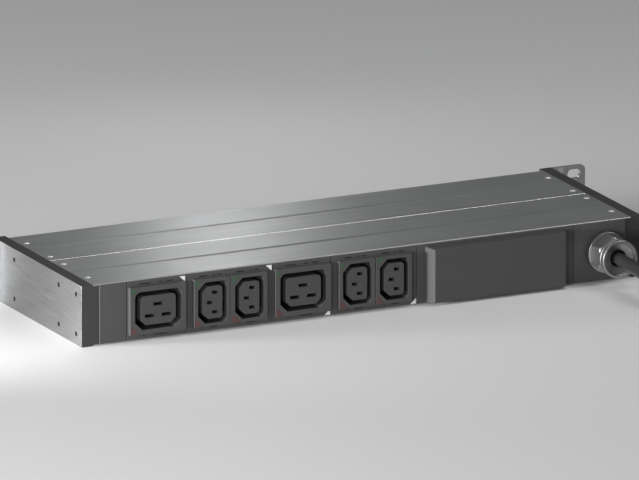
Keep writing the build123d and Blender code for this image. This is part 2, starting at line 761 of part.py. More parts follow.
def wire_grommets():
    """Rubber ring for each wire through the two webs."""
    y0, y1 = WEB_REAR, WEB_FRONT
    outline = [
        (GROMMET_BORE, y0 - GROMMET_LIP_T),
        (GROMMET_LIP_R, y0 - GROMMET_LIP_T),
        (GROMMET_LIP_R, y0),
        (GROMMET_R, y0),
        (GROMMET_R, y1),
        (GROMMET_LIP_R, y1),
        (GROMMET_LIP_R, y1 + GROMMET_LIP_T),
        (GROMMET_BORE, y1 + GROMMET_LIP_T),
    ]
    return [spin_y(x, z, outline) for x, z in outlet_wire_places() + [(FEED_X, FEED_Z)]]


def power_supply():
    """Potted supply on the housing's floor, with a raised part in the connection cover."""
    half = COVER_L / 2 - COVER_END_SLOPE - COVER_WALL - WINDOW_MARGIN - SUPPLY_CLEAR
    low = COVER_Z - COVER_H / 2 + WINDOW_MARGIN + SUPPLY_CLEAR
    high = COVER_Z + COVER_H / 2 - WINDOW_MARGIN - SUPPLY_CLEAR
    inner = PLATE_BACK + SUPPLY_CLEAR
    back = PLATE_BACK + SUPPLY_DEPTH
    body = box(COVER_X - half, COVER_X + half, inner, back, WALL, SUPPLY_TOP)
    return body + box(
        COVER_X - half, COVER_X + half, PLATE_FACE - SUPPLY_FRONT, inner + FIT, low, high
    )


# ---------------------------------------------------------------- boards in the front cavity
BOARD_Y0 = WEB_FRONT + GROMMET_LIP_T + BOARD_CLEAR
BOARD_Y1 = CONTROL_Y0 - CONTROL_GAP
BOARD_X0 = -OPEN_HALF + BOARD_MARGIN
BOARD_X1 = OPEN_HALF - BOARD_MARGIN


def power_board():
    """Board that carries the relays, on the housing's floor."""
    return box(BOARD_X0, BOARD_X1, BOARD_Y0, BOARD_Y1, BOARD_Z, BOARD_TOP)


def board_standoffs():
    """Pillars under the power board and between the control board and the front panel."""
    solids = []
    for x in (BOARD_X0 + BOARD_MARGIN, (BOARD_X0 + BOARD_X1) / 2, BOARD_X1 - BOARD_MARGIN):
        for y in (BOARD_Y0 + 2 * STANDOFF_R, BOARD_Y1 - 2 * STANDOFF_R):
            solids.append(Pos(x, y, WALL + STANDOFF_H / 2) * Cylinder(STANDOFF_R, STANDOFF_H))
    for x in (BOARD_X0 + STANDOFF_R, BOARD_X0 + CONTROL_BOARD_L - STANDOFF_R):
        for z in (CONTROL_BOARD_Z[0] + STANDOFF_R, CONTROL_BOARD_Z[1] - STANDOFF_R):
            solids.append(rod_y(x, z, STANDOFF_R, CONTROL_Y1, PANEL_BACK))
    return solids


def relays():
    """One relay for each outlet, at the end of its wire."""
    return [
        box(x - RELAY_W / 2, x + RELAY_W / 2, RELAY_Y0, RELAY_Y1, BOARD_TOP, BOARD_TOP + RELAY_H)
        for x, _ in outlet_wire_places()
    ]


def current_sensors():
    """Ring round each outlet's wire, standing on the power board."""
    y1 = RELAY_Y0 - SENSOR_BACK
    rings = []
    for x, z in outlet_wire_places():
        ring = rod_y(x, z, z - BOARD_TOP, y1 - SENSOR_L, y1)
        rings.append(ring - rod_y(x, z, SENSOR_BORE, y1 - SENSOR_L, y1))
    return rings


def line_bus_bar():
    """Bar on the power board that feeds every relay."""
    xs = [x for x, _ in outlet_wire_places()]
    x0, x1 = min(xs) - LINE_BAR_END, FEED_X + LINE_BAR_END / 2
    return box(x0, x1, RELAY_Y1, RELAY_Y1 + LINE_BAR_T, BOARD_TOP, BOARD_TOP + LINE_BAR_H)


def control_board():
    """Upright board behind the front panel."""
    return box(
        BOARD_X0,
        BOARD_X0 + CONTROL_BOARD_L,
        CONTROL_Y0,
        CONTROL_Y1,
        CONTROL_BOARD_Z[0],
        CONTROL_BOARD_Z[1],
    )


# ---------------------------------------------------------------- front face
def front_x(offset):
    """Place on the front panel, from the opening's left end."""
    return -OPEN_HALF + offset


def front_panel():
    """Panel between the brackets, with holes for the display, the keys and the network port."""
    half = OPEN_HALF - JOINT_GAP / 2
    body = box(-half, half, PANEL_BACK, PANEL_FACE, PLATE_Z0, PLATE_Z1)
    body = fillet(body.faces().sort_by(Axis.Y)[-1].edges(), PLATE_EDGE_R)
    at = Pos(front_x(DISPLAY_X), MID_Z)
    body -= prism_y(at * Rectangle(DISPLAY_W, DISPLAY_H), PANEL_FACE - DISPLAY_GLASS_T, PANEL_FACE)
    ledge = Rectangle(DISPLAY_W - 2 * DISPLAY_LEDGE, DISPLAY_H - 2 * DISPLAY_LEDGE)
    body -= prism_y(at * ledge, PANEL_BACK, PANEL_FACE)
    hole = KEY_SIZE + 2 * KEY_CLEAR
    for offset in KEY_X:
        body -= prism_y(Pos(front_x(offset), MID_Z) * Rectangle(hole, hole), PANEL_BACK, PANEL_FACE)
    port = Rectangle(PORT_W + 2 * PORT_FIT, PORT_H + 2 * PORT_FIT)
    return body - prism_y(Pos(front_x(PORT_X), MID_Z) * port, PANEL_BACK, PANEL_FACE)


def display_window():
    """Clear window that rests on the ledge in the front panel."""
    outline = Rectangle(DISPLAY_W - 2 * DISPLAY_FIT, DISPLAY_H - 2 * DISPLAY_FIT)
    at = Pos(front_x(DISPLAY_X), MID_Z)
    return prism_y(at * outline, PANEL_FACE - DISPLAY_GLASS_T, PANEL_FACE)


def display_module():
    """Display on the control board, behind its window."""
    outline = Rectangle(DISPLAY_W - 2 * DISPLAY_INSET, DISPLAY_H - 2 * DISPLAY_INSET)
    at = Pos(front_x(DISPLAY_X), MID_Z)
    return prism_y(at * outline, CONTROL_Y1, CONTROL_Y1 + DISPLAY_BODY_T)


def key(offset):
    """Push key with a flange behind the panel."""
    at = Pos(front_x(offset), MID_Z)
    flange_y1 = PANEL_BACK - KEY_CLEAR
    body = prism_y(at * Rectangle(KEY_SIZE, KEY_SIZE), flange_y1, PANEL_FACE + KEY_PROUD)
    body = fillet(body.faces().sort_by(Axis.Y)[-1].edges(), 2 * PLATE_EDGE_R)
    flange = Rectangle(KEY_FLANGE, KEY_FLANGE)
    return body + prism_y(at * flange, flange_y1 - KEY_FLANGE_T, flange_y1)


def key_switches():
    """Switch behind each key, short of it by the key's travel."""
    top = PANEL_BACK - KEY_CLEAR - KEY_FLANGE_T - KEY_TRAVEL - KEY_STOP
    outline = Rectangle(SWITCH_SIZE, SWITCH_SIZE)
    return [prism_y(Pos(front_x(x), MID_Z) * outline, CONTROL_Y1, top) for x in KEY_X]


def network_socket():
    """Shielded network socket on the control board."""
    at = Pos(front_x(PORT_X), MID_Z)
    body = prism_y(at * Rectangle(PORT_W, PORT_H), CONTROL_Y1, PANEL_FACE)
    hole = Rectangle(*PORT_HOLE)
    tab = Pos(0, -PORT_HOLE[1] / 2 - PORT_WALL / 2) * Rectangle(PORT_HOLE[0] / 2, PORT_WALL)
    return body - prism_y(at * (hole + tab), PANEL_FACE - PORT_DEPTH, PANEL_FACE)


# ---------------------------------------------------------------- cable gland
GLAND_SEAT = PLATE_FACE - GLAND_WASHER_T
GLAND_TOP = GLAND_SEAT - GLAND_FLANGE_T
GLAND_TIP = GLAND_TOP - GLAND_NOSE
NUT_BACK = GLAND_TOP - NUT_GAP
NUT_STEP = NUT_BACK - NUT_HEX_L
NUT_MOUTH = NUT_STEP - NUT_HORN_L


def gland_plate():
    """Plate with the gland's hole."""
    hole_r = GLAND_THREAD_R + GLAND_HOLE_CLEAR
    return plate(COVER_X1, OPEN_HALF) - rod_y(GLAND_X, MID_Z, hole_r, PLATE_FACE, PLATE_BACK)


def gland_washer():
    """Sealing washer between the plate and the gland's flange."""
    inner = GLAND_THREAD_R + GLAND_HOLE_CLEAR
    outer = rod_y(GLAND_X, MID_Z, GLAND_WASHER_R, GLAND_SEAT, PLATE_FACE)
    return outer - rod_y(GLAND_X, MID_Z, inner, GLAND_SEAT, PLATE_FACE)


def gland_body():
    """Gland body: a spigot through the plate, a flange and the nose that the nut turns on."""
    inner_end = PLATE_FACE + GLAND_SPIGOT
    body = rod_y(GLAND_X, MID_Z, GLAND_THREAD_R, GLAND_TIP, inner_end)
    flange = rod_y(GLAND_X, MID_Z, GLAND_FLANGE_R, GLAND_TOP, GLAND_SEAT)
    body += fillet(flange.faces().sort_by(Axis.Y)[0].edges(), PLATE_EDGE_R)
    body -= rod_y(GLAND_X, MID_Z, GLAND_BORE_R, GLAND_TIP, GLAND_TIP + SEAL_L)
    return body - rod_y(GLAND_X, MID_Z, CABLE_R + NUT_GAP, GLAND_TIP, inner_end)


def gland_seal():
    """Rubber sleeve that grips the cable inside the gland's nose."""
    outer = rod_y(GLAND_X, MID_Z, GLAND_BORE_R - SEAL_CLEAR, GLAND_TIP, GLAND_TIP + SEAL_L)
    return outer - rod_y(GLAND_X, MID_Z, CABLE_R + SEAL_CLEAR, GLAND_TIP, GLAND_TIP + SEAL_L)


def gland_nut():
    """Hexagon nut that carries a horn with a rolled rim and a flared mouth."""
    outline = [
        (NUT_WAIST_R - NUT_STEP_LAP, NUT_STEP),
        (NUT_WAIST_R, NUT_STEP),
        (NUT_HORN_R - PLATE_EDGE_R, NUT_STEP - 2 * PLATE_EDGE_R),
        (NUT_HORN_R - PLATE_EDGE_R, NUT_STEP - NUT_HORN_L / 2 + PLATE_EDGE_R),
        (NUT_WAIST_R + PLATE_EDGE_R, NUT_STEP - NUT_HORN_L / 2),
        (NUT_WAIST_R + PLATE_EDGE_R, NUT_STEP - NUT_HORN_L / 2 - 2 * PLATE_EDGE_R),
        (NUT_HORN_R, NUT_STEP - NUT_HORN_L / 2 - 3 * PLATE_EDGE_R),
        (NUT_HORN_R, NUT_MOUTH),
        (0, NUT_MOUTH),
        (0, NUT_STEP),
    ]
    hexagon = hex_y(GLAND_X, MID_Z, NUT_AF, NUT_STEP - FIT, NUT_BACK)
    horn = spin_y(GLAND_X, MID_Z, outline)
    rim = horn.faces().sort_by(Axis.Y)[0].edges()
    horn = fillet(rim, NUT_RIM_R)
    body = hexagon + horn
    bore_r = GLAND_THREAD_R + NUT_THREAD_CLEAR
    body -= rod_y(GLAND_X, MID_Z, bore_r, GLAND_TIP - 2 * NUT_GAP, NUT_BACK)
    body -= rod_y(GLAND_X, MID_Z, NUT_THROAT_R, NUT_MOUTH, NUT_BACK)
    return body - nut_flare()


def nut_flare():
    """Cutter for the mouth: a throat that opens on a quarter curve to the rim."""
    depth = NUT_HORN_L
    flare = NUT_MOUTH_R - NUT_THROAT_R
    line = Polyline((NUT_THROAT_R, NUT_MOUTH + depth), (0, NUT_MOUTH + depth), (0, NUT_MOUTH))
    mouth = Line((0, NUT_MOUTH), (NUT_THROAT_R + flare, NUT_MOUTH))
    lean = (NUT_THROAT_R + flare * NUT_FLARE_BEND, NUT_MOUTH + depth * NUT_FLARE_BEND)
    curve = ThreePointArc((NUT_THROAT_R + flare, NUT_MOUTH), lean, (NUT_THROAT_R, NUT_MOUTH + depth))
    face = make_face([*line.edges(), mouth.edge(), curve.edge()])
    return Pos(GLAND_X, 0, MID_Z) * revolve(face, Axis.Y, 360)


def gland_locknut():
    """Nut that clamps the gland from inside."""
    body = hex_y(GLAND_X, MID_Z, LOCKNUT_AF, PLATE_BACK, PLATE_BACK + LOCKNUT_T)
    bore_r = GLAND_THREAD_R + SEAL_CLEAR
    return body - rod_y(GLAND_X, MID_Z, bore_r, PLATE_BACK, PLATE_BACK + LOCKNUT_T)


# ---------------------------------------------------------------- supply cable
def cord_tube(points):
    """Cable along a route of straight runs joined by tangent arcs."""
    radii = corner_radii(points)
    print("cord bend radii", [round(r, 1) for r in radii])
    path = FilletPolyline(*points, radius=radii)
    tube = along(path, CABLE_R)
    expected = pi * CABLE_R**2 * path.length
    print("cord length", round(path.length, 1), "volume share", round(tube.volume / expected, 4))
    return tube


def supply_cord():
    """Free cable: from the gland down to the coil, and from the coil to the plug."""
    return [cord_tube(CORD_POINTS), cord_tube(TAIL_POINTS)]


def coil_reach():
    """Inner and outer radius and height of the coiled cable."""
    inner = COIL_R - (COIL_COLUMNS - 1) * CABLE_D - CABLE_R
    return inner, COIL_R + CABLE_R, COIL_LAYERS * CABLE_D


def cord_coil():
    """Outer shape of the coiled cable."""
    inner, outer, height = coil_reach()
    ring = Cylinder(outer, height) - Cylinder(inner, height)
    return Pos(COIL_CENTRE[0], COIL_CENTRE[1], COIL_LIFT + height / 2) * ring


def cord_tie():
    """Band round the coil's bundle of turns."""
    inner, outer, height = coil_reach()
    near = inner * cos(asin(TIE_W / 2 / inner)) - TIE_CLEAR
    far = outer + TIE_CLEAR
    top = COIL_LIFT + height
    band = box(near - TIE_T, far + TIE_T, -TIE_W / 2, TIE_W / 2, COIL_LIFT - TIE_T, top + TIE_T)
    band -= box(near, far, -TIE_W, TIE_W, COIL_LIFT, top)
    return Pos(COIL_CENTRE[0], COIL_CENTRE[1], 0) * Rot(0, 0, TIE_ANGLE) * band


# ---------------------------------------------------------------- mains plug
def plug_frame():
    """Place at the cable's end, with local +Z along the cable into the plug."""
    before, last = Vector(*TAIL_POINTS[-2]), Vector(*TAIL_POINTS[-1])
    level = Vector(last.X - before.X, last.Y - before.Y, 0)
    return Plane(origin=last, x_dir=(level.Y, -level.X, 0), z_dir=level)


def plug_body():
    """Round earthed plug with a neck for the cable and a groove for each side earth contact."""
    length = PLUG_NECK_L + PLUG_BODY_L
    outline = [
        (0, 0),
        (PLUG_NECK_R, 0),
        (PLUG_NECK_R, PLUG_NECK_L),
        (PLUG_WAIST_R, PLUG_NECK_L + (PLUG_R - PLUG_NECK_R) / 2),
        (PLUG_R, length - PLUG_PIN_L),
        (PLUG_R, length),
        (0, length),
    ]
    body = revolve(Plane.XZ * Polygon(*outline, align=None), Axis.Z, 360)
    for side in (-1, 1):
        y = side * (PLUG_R - PLUG_EARTH_DEPTH / 2)
        groove = Box(PLUG_EARTH_W, PLUG_EARTH_DEPTH, PLUG_PIN_L)
        body -= Pos(0, y, length - PLUG_PIN_L / 2) * groove
    for side in (-1, 1):
        seat = Cylinder(PLUG_PIN_R, PLUG_PIN_SEAT)
        body -= Pos(side * PLUG_PIN_PITCH / 2, 0, length - PLUG_PIN_SEAT / 2) * seat
    return plug_frame() * body


def plug_pins():
    """Two round pins seated in the plug's face."""
    start = PLUG_NECK_L + PLUG_BODY_L - PLUG_PIN_SEAT
    length = PLUG_PIN_SEAT + PLUG_PIN_L
    pin = Cylinder(PLUG_PIN_R - SEAL_CLEAR, length)
    pin = fillet(pin.faces().sort_by(Axis.Z)[-1].edges(), PLUG_PIN_R / 2)
    return [
        plug_frame() * (Pos(side * PLUG_PIN_PITCH / 2, 0, start + length / 2) * pin)
        for side in (-1, 1)
    ]


# ---------------------------------------------------------------- build
def build():
    os.makedirs("parts", exist_ok=True)
    save("rear_profile", extrusion(REAR, SEAM_Y, WEB))
    save("front_profile", extrusion(FRONT, SEAM_Y, WEB))
    bracket = end_bracket()
    save("right_bracket", bracket)
    save("left_bracket", mirror(bracket, about=Plane.YZ))
    save("housing_screws", housing_screws())

    save("blank_plate", plate(EDGES[0], EDGES[1]))
    save("cover_plate", cover_plate())
    save("gland_plate", gland_plate())
    save("connection_cover", connection_cover())
    save("bank_markers", bank_markers())

    c19_well = c19_outline(C19_WELL, C19_ROUND, C19_CHAMFER)
    c13_well = c13_outline(C13_WELL, C13_ROUND, C13_CHAMFER)
    for number, x in enumerate(C19_X, start=1):
        left = EDGES[2 * number - 1]
        save(f"c19_plate_{number}", outlet_plate(left, left + C19_PITCH, [x], C19_TUBE))
        save(f"c19_shroud_{number}", shroud(x, C19_BEZEL_W, C19_TUBE, c19_well))
    for number, x in enumerate(PAIR_X, start=1):
        left = EDGES[2 * number]
        pair = C13_X[2 * number - 2 : 2 * number]
        save(f"c13_plate_{number}", outlet_plate(left, left + C13_PAIR_PITCH, pair, C13_TUBE))
    for number, x in enumerate(C13_X, start=1):
        save(f"c13_shroud_{number}", shroud(x, C13_BEZEL_W, C13_TUBE, c13_well))

    c19_island = c19_outline(C19_CORE, C19_CORE_ROUND, C19_CORE_CHAMFER)
    c13_island = c13_outline(C13_CORE, C13_CORE_ROUND, C13_CORE_CHAMFER)
    large = [outlet_core(x, (c19_island, c19_well), C19_WELL, C19_SLOT, C19_PINS) for x in C19_X]
    small = [outlet_core(x, (c13_island, c13_well), C13_WELL, C13_SLOT, C13_PINS) for x in C13_X]
    save("c19_cores", large)
    save("c13_cores", small)
    save("c19_contacts", contacts(C19_X, C19_SLOT, C19_PINS))
    save("c13_contacts", contacts(C13_X, C13_SLOT, C13_PINS))
    save("green_light_pipes", lenses(True))
    save("red_light_pipes", lenses(False))

    save("neutral_bus_bar", neutral_bus_bar())
    save("earth_bus_bar", earth_bus_bar())
    save("bus_bar_holders", bus_bar_holders())
    save("earth_stud", earth_stud())
    save("terminal_block", terminal_block())
    save("cable_cores", cable_cores())
    save("internal_wires", internal_wires())
    save("wire_grommets", wire_grommets())
    save("power_supply", power_supply())

    save("power_board", power_board())
    save("board_standoffs", board_standoffs())
    save("relays", relays())
    save("current_sensors", current_sensors())
    save("line_bus_bar", line_bus_bar())
    save("control_board", control_board())

    save("front_panel", front_panel())
    save("display_window", display_window())
    save("display_module", display_module())
    for name, offset in zip(("key_up", "key_down", "key_enter"), KEY_X):
        save(name, key(offset))
    save("key_switches", key_switches())
    save("network_socket", network_socket())

    save("gland_washer", gland_washer())
    save("gland_body", gland_body())
    save("gland_seal", gland_seal())
    save("gland_nut", gland_nut())
    save("gland_locknut", gland_locknut())

    save("supply_cord", supply_cord())
    save("cord_coil", cord_coil())
    save("cord_tie", cord_tie())
    save("plug_body", plug_body())
    save("plug_pins", plug_pins())


build()
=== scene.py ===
"""Rack power strip, one rack unit high: its looks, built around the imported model.

Everything is in metres in the model's own frame: X along the strip, Y from the outlets to the rack
ears, Z up from the underside.
"""

import logging
import math
from dataclasses import dataclass
from enum import Enum
from typing import Iterable, Mapping, Sequence, Union

import bmesh
import bpy
from mathutils import Matrix, Vector


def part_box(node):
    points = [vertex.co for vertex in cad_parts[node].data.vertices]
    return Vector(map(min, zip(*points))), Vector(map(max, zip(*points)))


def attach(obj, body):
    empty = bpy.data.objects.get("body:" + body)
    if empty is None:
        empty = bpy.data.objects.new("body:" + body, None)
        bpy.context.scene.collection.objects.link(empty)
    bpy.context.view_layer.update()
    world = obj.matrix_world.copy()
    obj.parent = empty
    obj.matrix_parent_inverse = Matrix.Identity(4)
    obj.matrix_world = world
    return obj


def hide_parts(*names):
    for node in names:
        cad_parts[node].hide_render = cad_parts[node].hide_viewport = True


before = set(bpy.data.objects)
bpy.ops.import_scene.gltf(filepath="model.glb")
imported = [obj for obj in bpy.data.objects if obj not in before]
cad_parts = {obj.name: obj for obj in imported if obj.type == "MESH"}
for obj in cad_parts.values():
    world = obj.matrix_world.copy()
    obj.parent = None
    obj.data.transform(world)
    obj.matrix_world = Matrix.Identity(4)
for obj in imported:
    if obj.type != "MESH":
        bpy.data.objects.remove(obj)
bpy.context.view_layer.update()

MM = 0.001
HOUSING = "housing"
PANEL_WIDTH = 0.4826
BODY_WIDTH = 0.4311
Colour = tuple[float, float, float]
Point = tuple[float, float, float]
Value = Union["Signal", float, Sequence[float], bpy.types.NodeSocket]

log = logging.getLogger("power_strip")


# ------------------------------------------------------------------------------------ shader wiring
class Signal:
    """A node's output that takes part in Python arithmetic."""

    def __init__(self, graph: "Graph", socket: bpy.types.NodeSocket) -> None:
        """Keeps the socket and the graph that it belongs to."""
        self.graph = graph
        self.socket = socket

    def maths(self, operation: str, *values: Value) -> "Signal":
        """Adds a Math node.

        Args:
            operation: The Math node's operation.
            values: What feeds its sockets, in order.

        Returns:
            The node's output.
        """
        return self.graph.node("ShaderNodeMath", {"operation": operation}, dict(enumerate(values)))

    def __add__(self, other: Value) -> "Signal":
        """This value plus another."""
        return self.maths("ADD", self, other)

    __radd__ = __add__

    def __sub__(self, other: Value) -> "Signal":
        """This value less another."""
        return self.maths("SUBTRACT", self, other)

    def __rsub__(self, other: Value) -> "Signal":
        """Another value less this one."""
        return self.maths("SUBTRACT", other, self)

    def __mul__(self, other: Value) -> "Signal":
        """This value times another."""
        return self.maths("MULTIPLY", self, other)

    __rmul__ = __mul__

    def __abs__(self) -> "Signal":
        """This value without its sign."""
        return self.maths("ABSOLUTE", self)

    def __gt__(self, other: Value) -> "Signal":
        """One where this value is the larger, and zero elsewhere."""
        return self.maths("GREATER_THAN", self, other)

    def __lt__(self, other: Value) -> "Signal":
        """One where this value is the smaller, and zero elsewhere."""
        return self.maths("LESS_THAN", self, other)

    def rise(self, low: float, high: float) -> "Signal":
        """Goes smoothly from zero at low to one at high; falls where low is the larger.

        Args:
            low: Where the result is zero.
            high: Where the result is one.

        Returns:
            The eased value.
        """
        span = {"From Min": low, "From Max": high, "Value": self}
        return self.graph.node("ShaderNodeMapRange", {"interpolation_type": "SMOOTHSTEP"}, span)


class Graph:
    """One material's nodes."""

    def __init__(self, name: str) -> None:
        """Starts an empty material of that name."""
        self.material = bpy.data.materials.new(name)
        self.material.use_nodes = True
        self.tree = self.material.node_tree
        self.tree.nodes.clear()

    def node(
        self,
        kind: str,
        settings: Mapping[str, object] | None = None,
        inputs: Mapping[int | str, Value] | None = None,
        output: int | str = 0,
    ) -> Signal:
        """Adds a node.

        Args:
            kind: The node's type.
            settings: Its own settings, set first; "stops" is a ramp's (position, colour) pairs.
            inputs: A value or a link for each socket named.
            output: The socket that is returned.

        Returns:
            The chosen output.
        """
        node = self.tree.nodes.new(kind)
        for name, value in (settings or {}).items():
            if name == "stops":
                self._set_stops(node.color_ramp, value)
            else:
                setattr(node, name, value)
        for name, value in (inputs or {}).items():
            source = value.socket if isinstance(value, Signal) else value
            if isinstance(source, bpy.types.NodeSocket):
                self.tree.links.new(source, node.inputs[name])
            else:
                node.inputs[name].default_value = source
        return Signal(self, node.outputs[output])

    @staticmethod
    def _set_stops(ramp: bpy.types.ColorRamp, stops: Sequence[tuple[float, Colour]]) -> None:
        """Gives a ramp its colours."""
        while len(ramp.elements) < len(stops):
            ramp.elements.new(1.0)
        for element, (place, colour) in zip(ramp.elements, stops):
            element.position = place
            element.color = (*colour, 1.0)

    def place(self, stretch: Sequence[float] = (1.0, 1.0, 1.0)) -> Signal:
        """Object coordinates, stretched.

        Args:
            stretch: Scale along each axis; a small one draws a pattern out along it.

        Returns:
            The coordinates.
        """
        here = self.node("ShaderNodeTexCoord", output="Object")
        return self.node("ShaderNodeMapping", inputs={"Vector": here, "Scale": stretch})

    def axes(self) -> tuple[Signal, Signal, Signal]:
        """X, Y and Z of the object coordinates."""
        here = self.node("ShaderNodeTexCoord", output="Object")
        parts = self.node("ShaderNodeSeparateXYZ", inputs={"Vector": here})
        sockets = parts.socket.node.outputs
        return Signal(self, sockets[0]), Signal(self, sockets[1]), Signal(self, sockets[2])

    def noise(
        self, grain: float, detail: float = 2.0, stretch: Sequence[float] = (1.0, 1.0, 1.0)
    ) -> Signal:
        """Noise between zero and one.

        Args:
            grain: Size of its features, in metres.
            detail: Octaves.
            stretch: Scale along each axis.

        Returns:
            The noise.
        """
        sockets = {"Vector": self.place(stretch), "Scale": 1.0 / grain, "Detail": detail}
        return self.node("ShaderNodeTexNoise", inputs=sockets)

    def blend(self, factor: Value, first: Value, second: Value) -> Signal:
        """Mixes two colours.

        Args:
            factor: Share of the second.
            first: Colour at zero.
            second: Colour at one.

        Returns:
            The mixed colour.
        """
        node = self.node("ShaderNodeMix", {"data_type": "RGBA"}, {0: factor}, output=2).socket.node
        for index, value in ((6, first), (7, second)):
            if isinstance(value, Signal):
                self.tree.links.new(value.socket, node.inputs[index])
            else:
                node.inputs[index].default_value = (*value, 1.0)
        return Signal(self, node.outputs[2])

    def bump(self, height: Value, depth: float) -> Signal:
        """A normal from a height.

        Args:
            height: Height between zero and one.
            depth: What a height of one stands for, in metres.

        Returns:
            The normal.
        """
        sockets = {"Height": height, "Distance": depth, "Strength": 1.0}
        return self.node("ShaderNodeBump", inputs=sockets)

    def shade(self, **sockets: Value) -> bpy.types.Material:
        """Ends the material in one principled shader.

        Args:
            sockets: Its sockets, with underscores for spaces.

        Returns:
            The finished material.
        """
        named = {name.replace("_", " "): self._padded(value) for name, value in sockets.items()}
        shader = self.node("ShaderNodeBsdfPrincipled", inputs=named)
        self.node_end(shader)
        return self.material

    @staticmethod
    def _padded(value: Value) -> Value:
        """A plain colour with its alpha added."""
        return (*value, 1.0) if isinstance(value, tuple) and len(value) == 3 else value

    def node_end(self, shader: Signal) -> None:
        """Joins a shader to the material's output."""
        end = self.tree.nodes.new("ShaderNodeOutputMaterial")
        self.tree.links.new(shader.socket, end.inputs["Surface"])


# ------------------------------------------------------------------------------------ finishes
class Along(Enum):
    """The axis that a brushed grain runs along."""

    X = (0.012, 1.0, 1.0)
    Y = (1.0, 0.012, 1.0)
    Z = (1.0, 1.0, 0.012)


def grey(level: float, warm: float = 0.0) -> Colour:
    """A near-neutral colour, a little redder and less blue where warm is above zero."""
    return level * (1 + warm), level, level * (1 - warm)


def toned(colour: Colour, share: float) -> Colour:
    """A colour made lighter or darker by a share, and never past white."""
    return tuple(min(1.0, share * channel) for channel in colour)


@dataclass(frozen=True)
class BrushedAluminium:
    """Anodised extrusion with a fine grain, faint die lines and handling marks, and a painted
    highlight along the seam between the two profiles.
    """

    name: str
    colour: Colour = (0.56, 0.565, 0.57)
    along: Along = Along.X
    roughness: float = 0.42
    grain: float = 0.35 * MM
    grain_depth: float = 0.006 * MM
    seam_y: float = 1.15 * MM
    seam_reach: float = 0.55 * MM

    def make(self) -> bpy.types.Material:
        """Builds the material."""
        graph = Graph(self.name)
        fine = graph.noise(self.grain, 3.0, self.along.value)
        broad = graph.noise(6 * self.grain, 2.0, self.along.value)
        smudge = graph.noise(38 * MM, 4.0)
        patches = graph.noise(9 * MM, 2.0).rise(0.5, 0.7)
        scratch = (graph.noise(1.6 * MM, 1.0, self.along.value) > 0.70) * patches
        streak = graph.noise(11 * self.grain, 2.0, self.along.value)
        _, y, _ = graph.axes()
        # Painted highlight: a near-white band along the seam stands in for the light its rounded
        # edges would catch; its roughness is lowered there too.
        seam_painted_highlight = abs(y - self.seam_y) < self.seam_reach
        tone = graph.blend(broad.rise(0.3, 0.7), toned(self.colour, 0.93), self.colour)
        tone = graph.blend(streak.rise(0.35, 0.65) * 0.5, tone, toned(self.colour, 0.86))
        tone = graph.blend(scratch * 0.35, tone, (0.72, 0.72, 0.72))
        tone = graph.blend(seam_painted_highlight, tone, (0.95, 0.95, 0.95))
        rough = (fine - 0.5) * 0.14 + (smudge - 0.5) * 0.10 + self.roughness - seam_painted_highlight * 0.2
        normal = graph.bump(fine + broad * 0.5, self.grain_depth)
        return graph.shade(Base_Color=tone, Metallic=1.0, Roughness=rough, Normal=normal)


@dataclass(frozen=True)
class BracketMetal:
    """End bracket: dark textured coating, with the outer face and the ear left bare and brushed;
    the bare metal is painted darker on the outer face as painted shade and lighter on the ear as a
    painted highlight.
    """

    name: str
    face_x: float
    # Two copies of the same bare metal: the lighter one on the ear is a painted highlight, the
    # darker one on the outer face is painted shade.
    bare: Colour = (0.74, 0.745, 0.75)
    side: Colour = (0.21, 0.211, 0.213)
    coat: Colour = (0.050, 0.050, 0.051)
    bare_roughness: float = 0.36
    coat_roughness: float = 0.5
    gloss: float = 0.2

    def make(self) -> bpy.types.Material:
        """Builds the material."""
        graph = Graph(self.name)
        x, _, _ = graph.axes()
        outer = abs(x) > self.face_x - 0.06 * MM
        ear = abs(x) > self.face_x + 0.3 * MM
        fine = graph.noise(0.35 * MM, 3.0, Along.Y.value)
        smudge = graph.noise(30 * MM, 4.0)
        texture = graph.noise(0.55 * MM, 3.0)
        coat = graph.blend(texture, toned(self.coat, 0.86), toned(self.coat, 1.14))
        # Painted light: the ear takes the lighter copy of the bare metal and the outer face the
        # darker one.
        plain = graph.blend(ear, self.side, self.bare)
        bare = graph.blend(fine.rise(0.3, 0.7), plain, graph.blend(0.12, plain, (1.0, 1.0, 1.0)))
        bare_rough = (fine - 0.5) * 0.12 + (smudge - 0.5) * 0.10 + self.bare_roughness
        coat_rough = (texture - 0.5) * 0.16 + (smudge - 0.5) * 0.06 + self.coat_roughness
        rough = bare_rough * outer + coat_rough * (1 - outer)
        height = fine * outer * 0.2 + texture * (1 - outer)
        return graph.shade(
            Base_Color=graph.blend(outer, coat, bare),
            Metallic=outer,
            Roughness=rough,
            Specular_IOR_Level=self.gloss,
            Normal=graph.bump(height, 0.03 * MM),
        )


@dataclass(frozen=True)
class TexturedCoat:
    """Powder coating or spark-textured moulding: a fine pebbled skin with a few rubbed patches."""

    name: str
    colour: Colour
    roughness: float = 0.5
    grain: float = 0.55 * MM
    depth: float = 0.03 * MM
    rubbed: float = 0.10
    gloss: float = 0.25

    def make(self) -> bpy.types.Material:
        """Builds the material."""
        graph = Graph(self.name)
        pebble = graph.noise(self.grain, 3.0)
        cloud = graph.noise(26 * MM, 4.0)
        rub = cloud.rise(0.52, 0.78) * self.rubbed
        tone = graph.blend(pebble, toned(self.colour, 0.86), toned(self.colour, 1.14))
        tone = graph.blend(rub, tone, toned(self.colour, 1.9))
        rough = (pebble - 0.5) * 0.16 - rub + self.roughness
        return graph.shade(
            Base_Color=tone,
            Roughness=rough,
            Specular_IOR_Level=self.gloss,
            Normal=graph.bump(pebble, self.depth),
        )


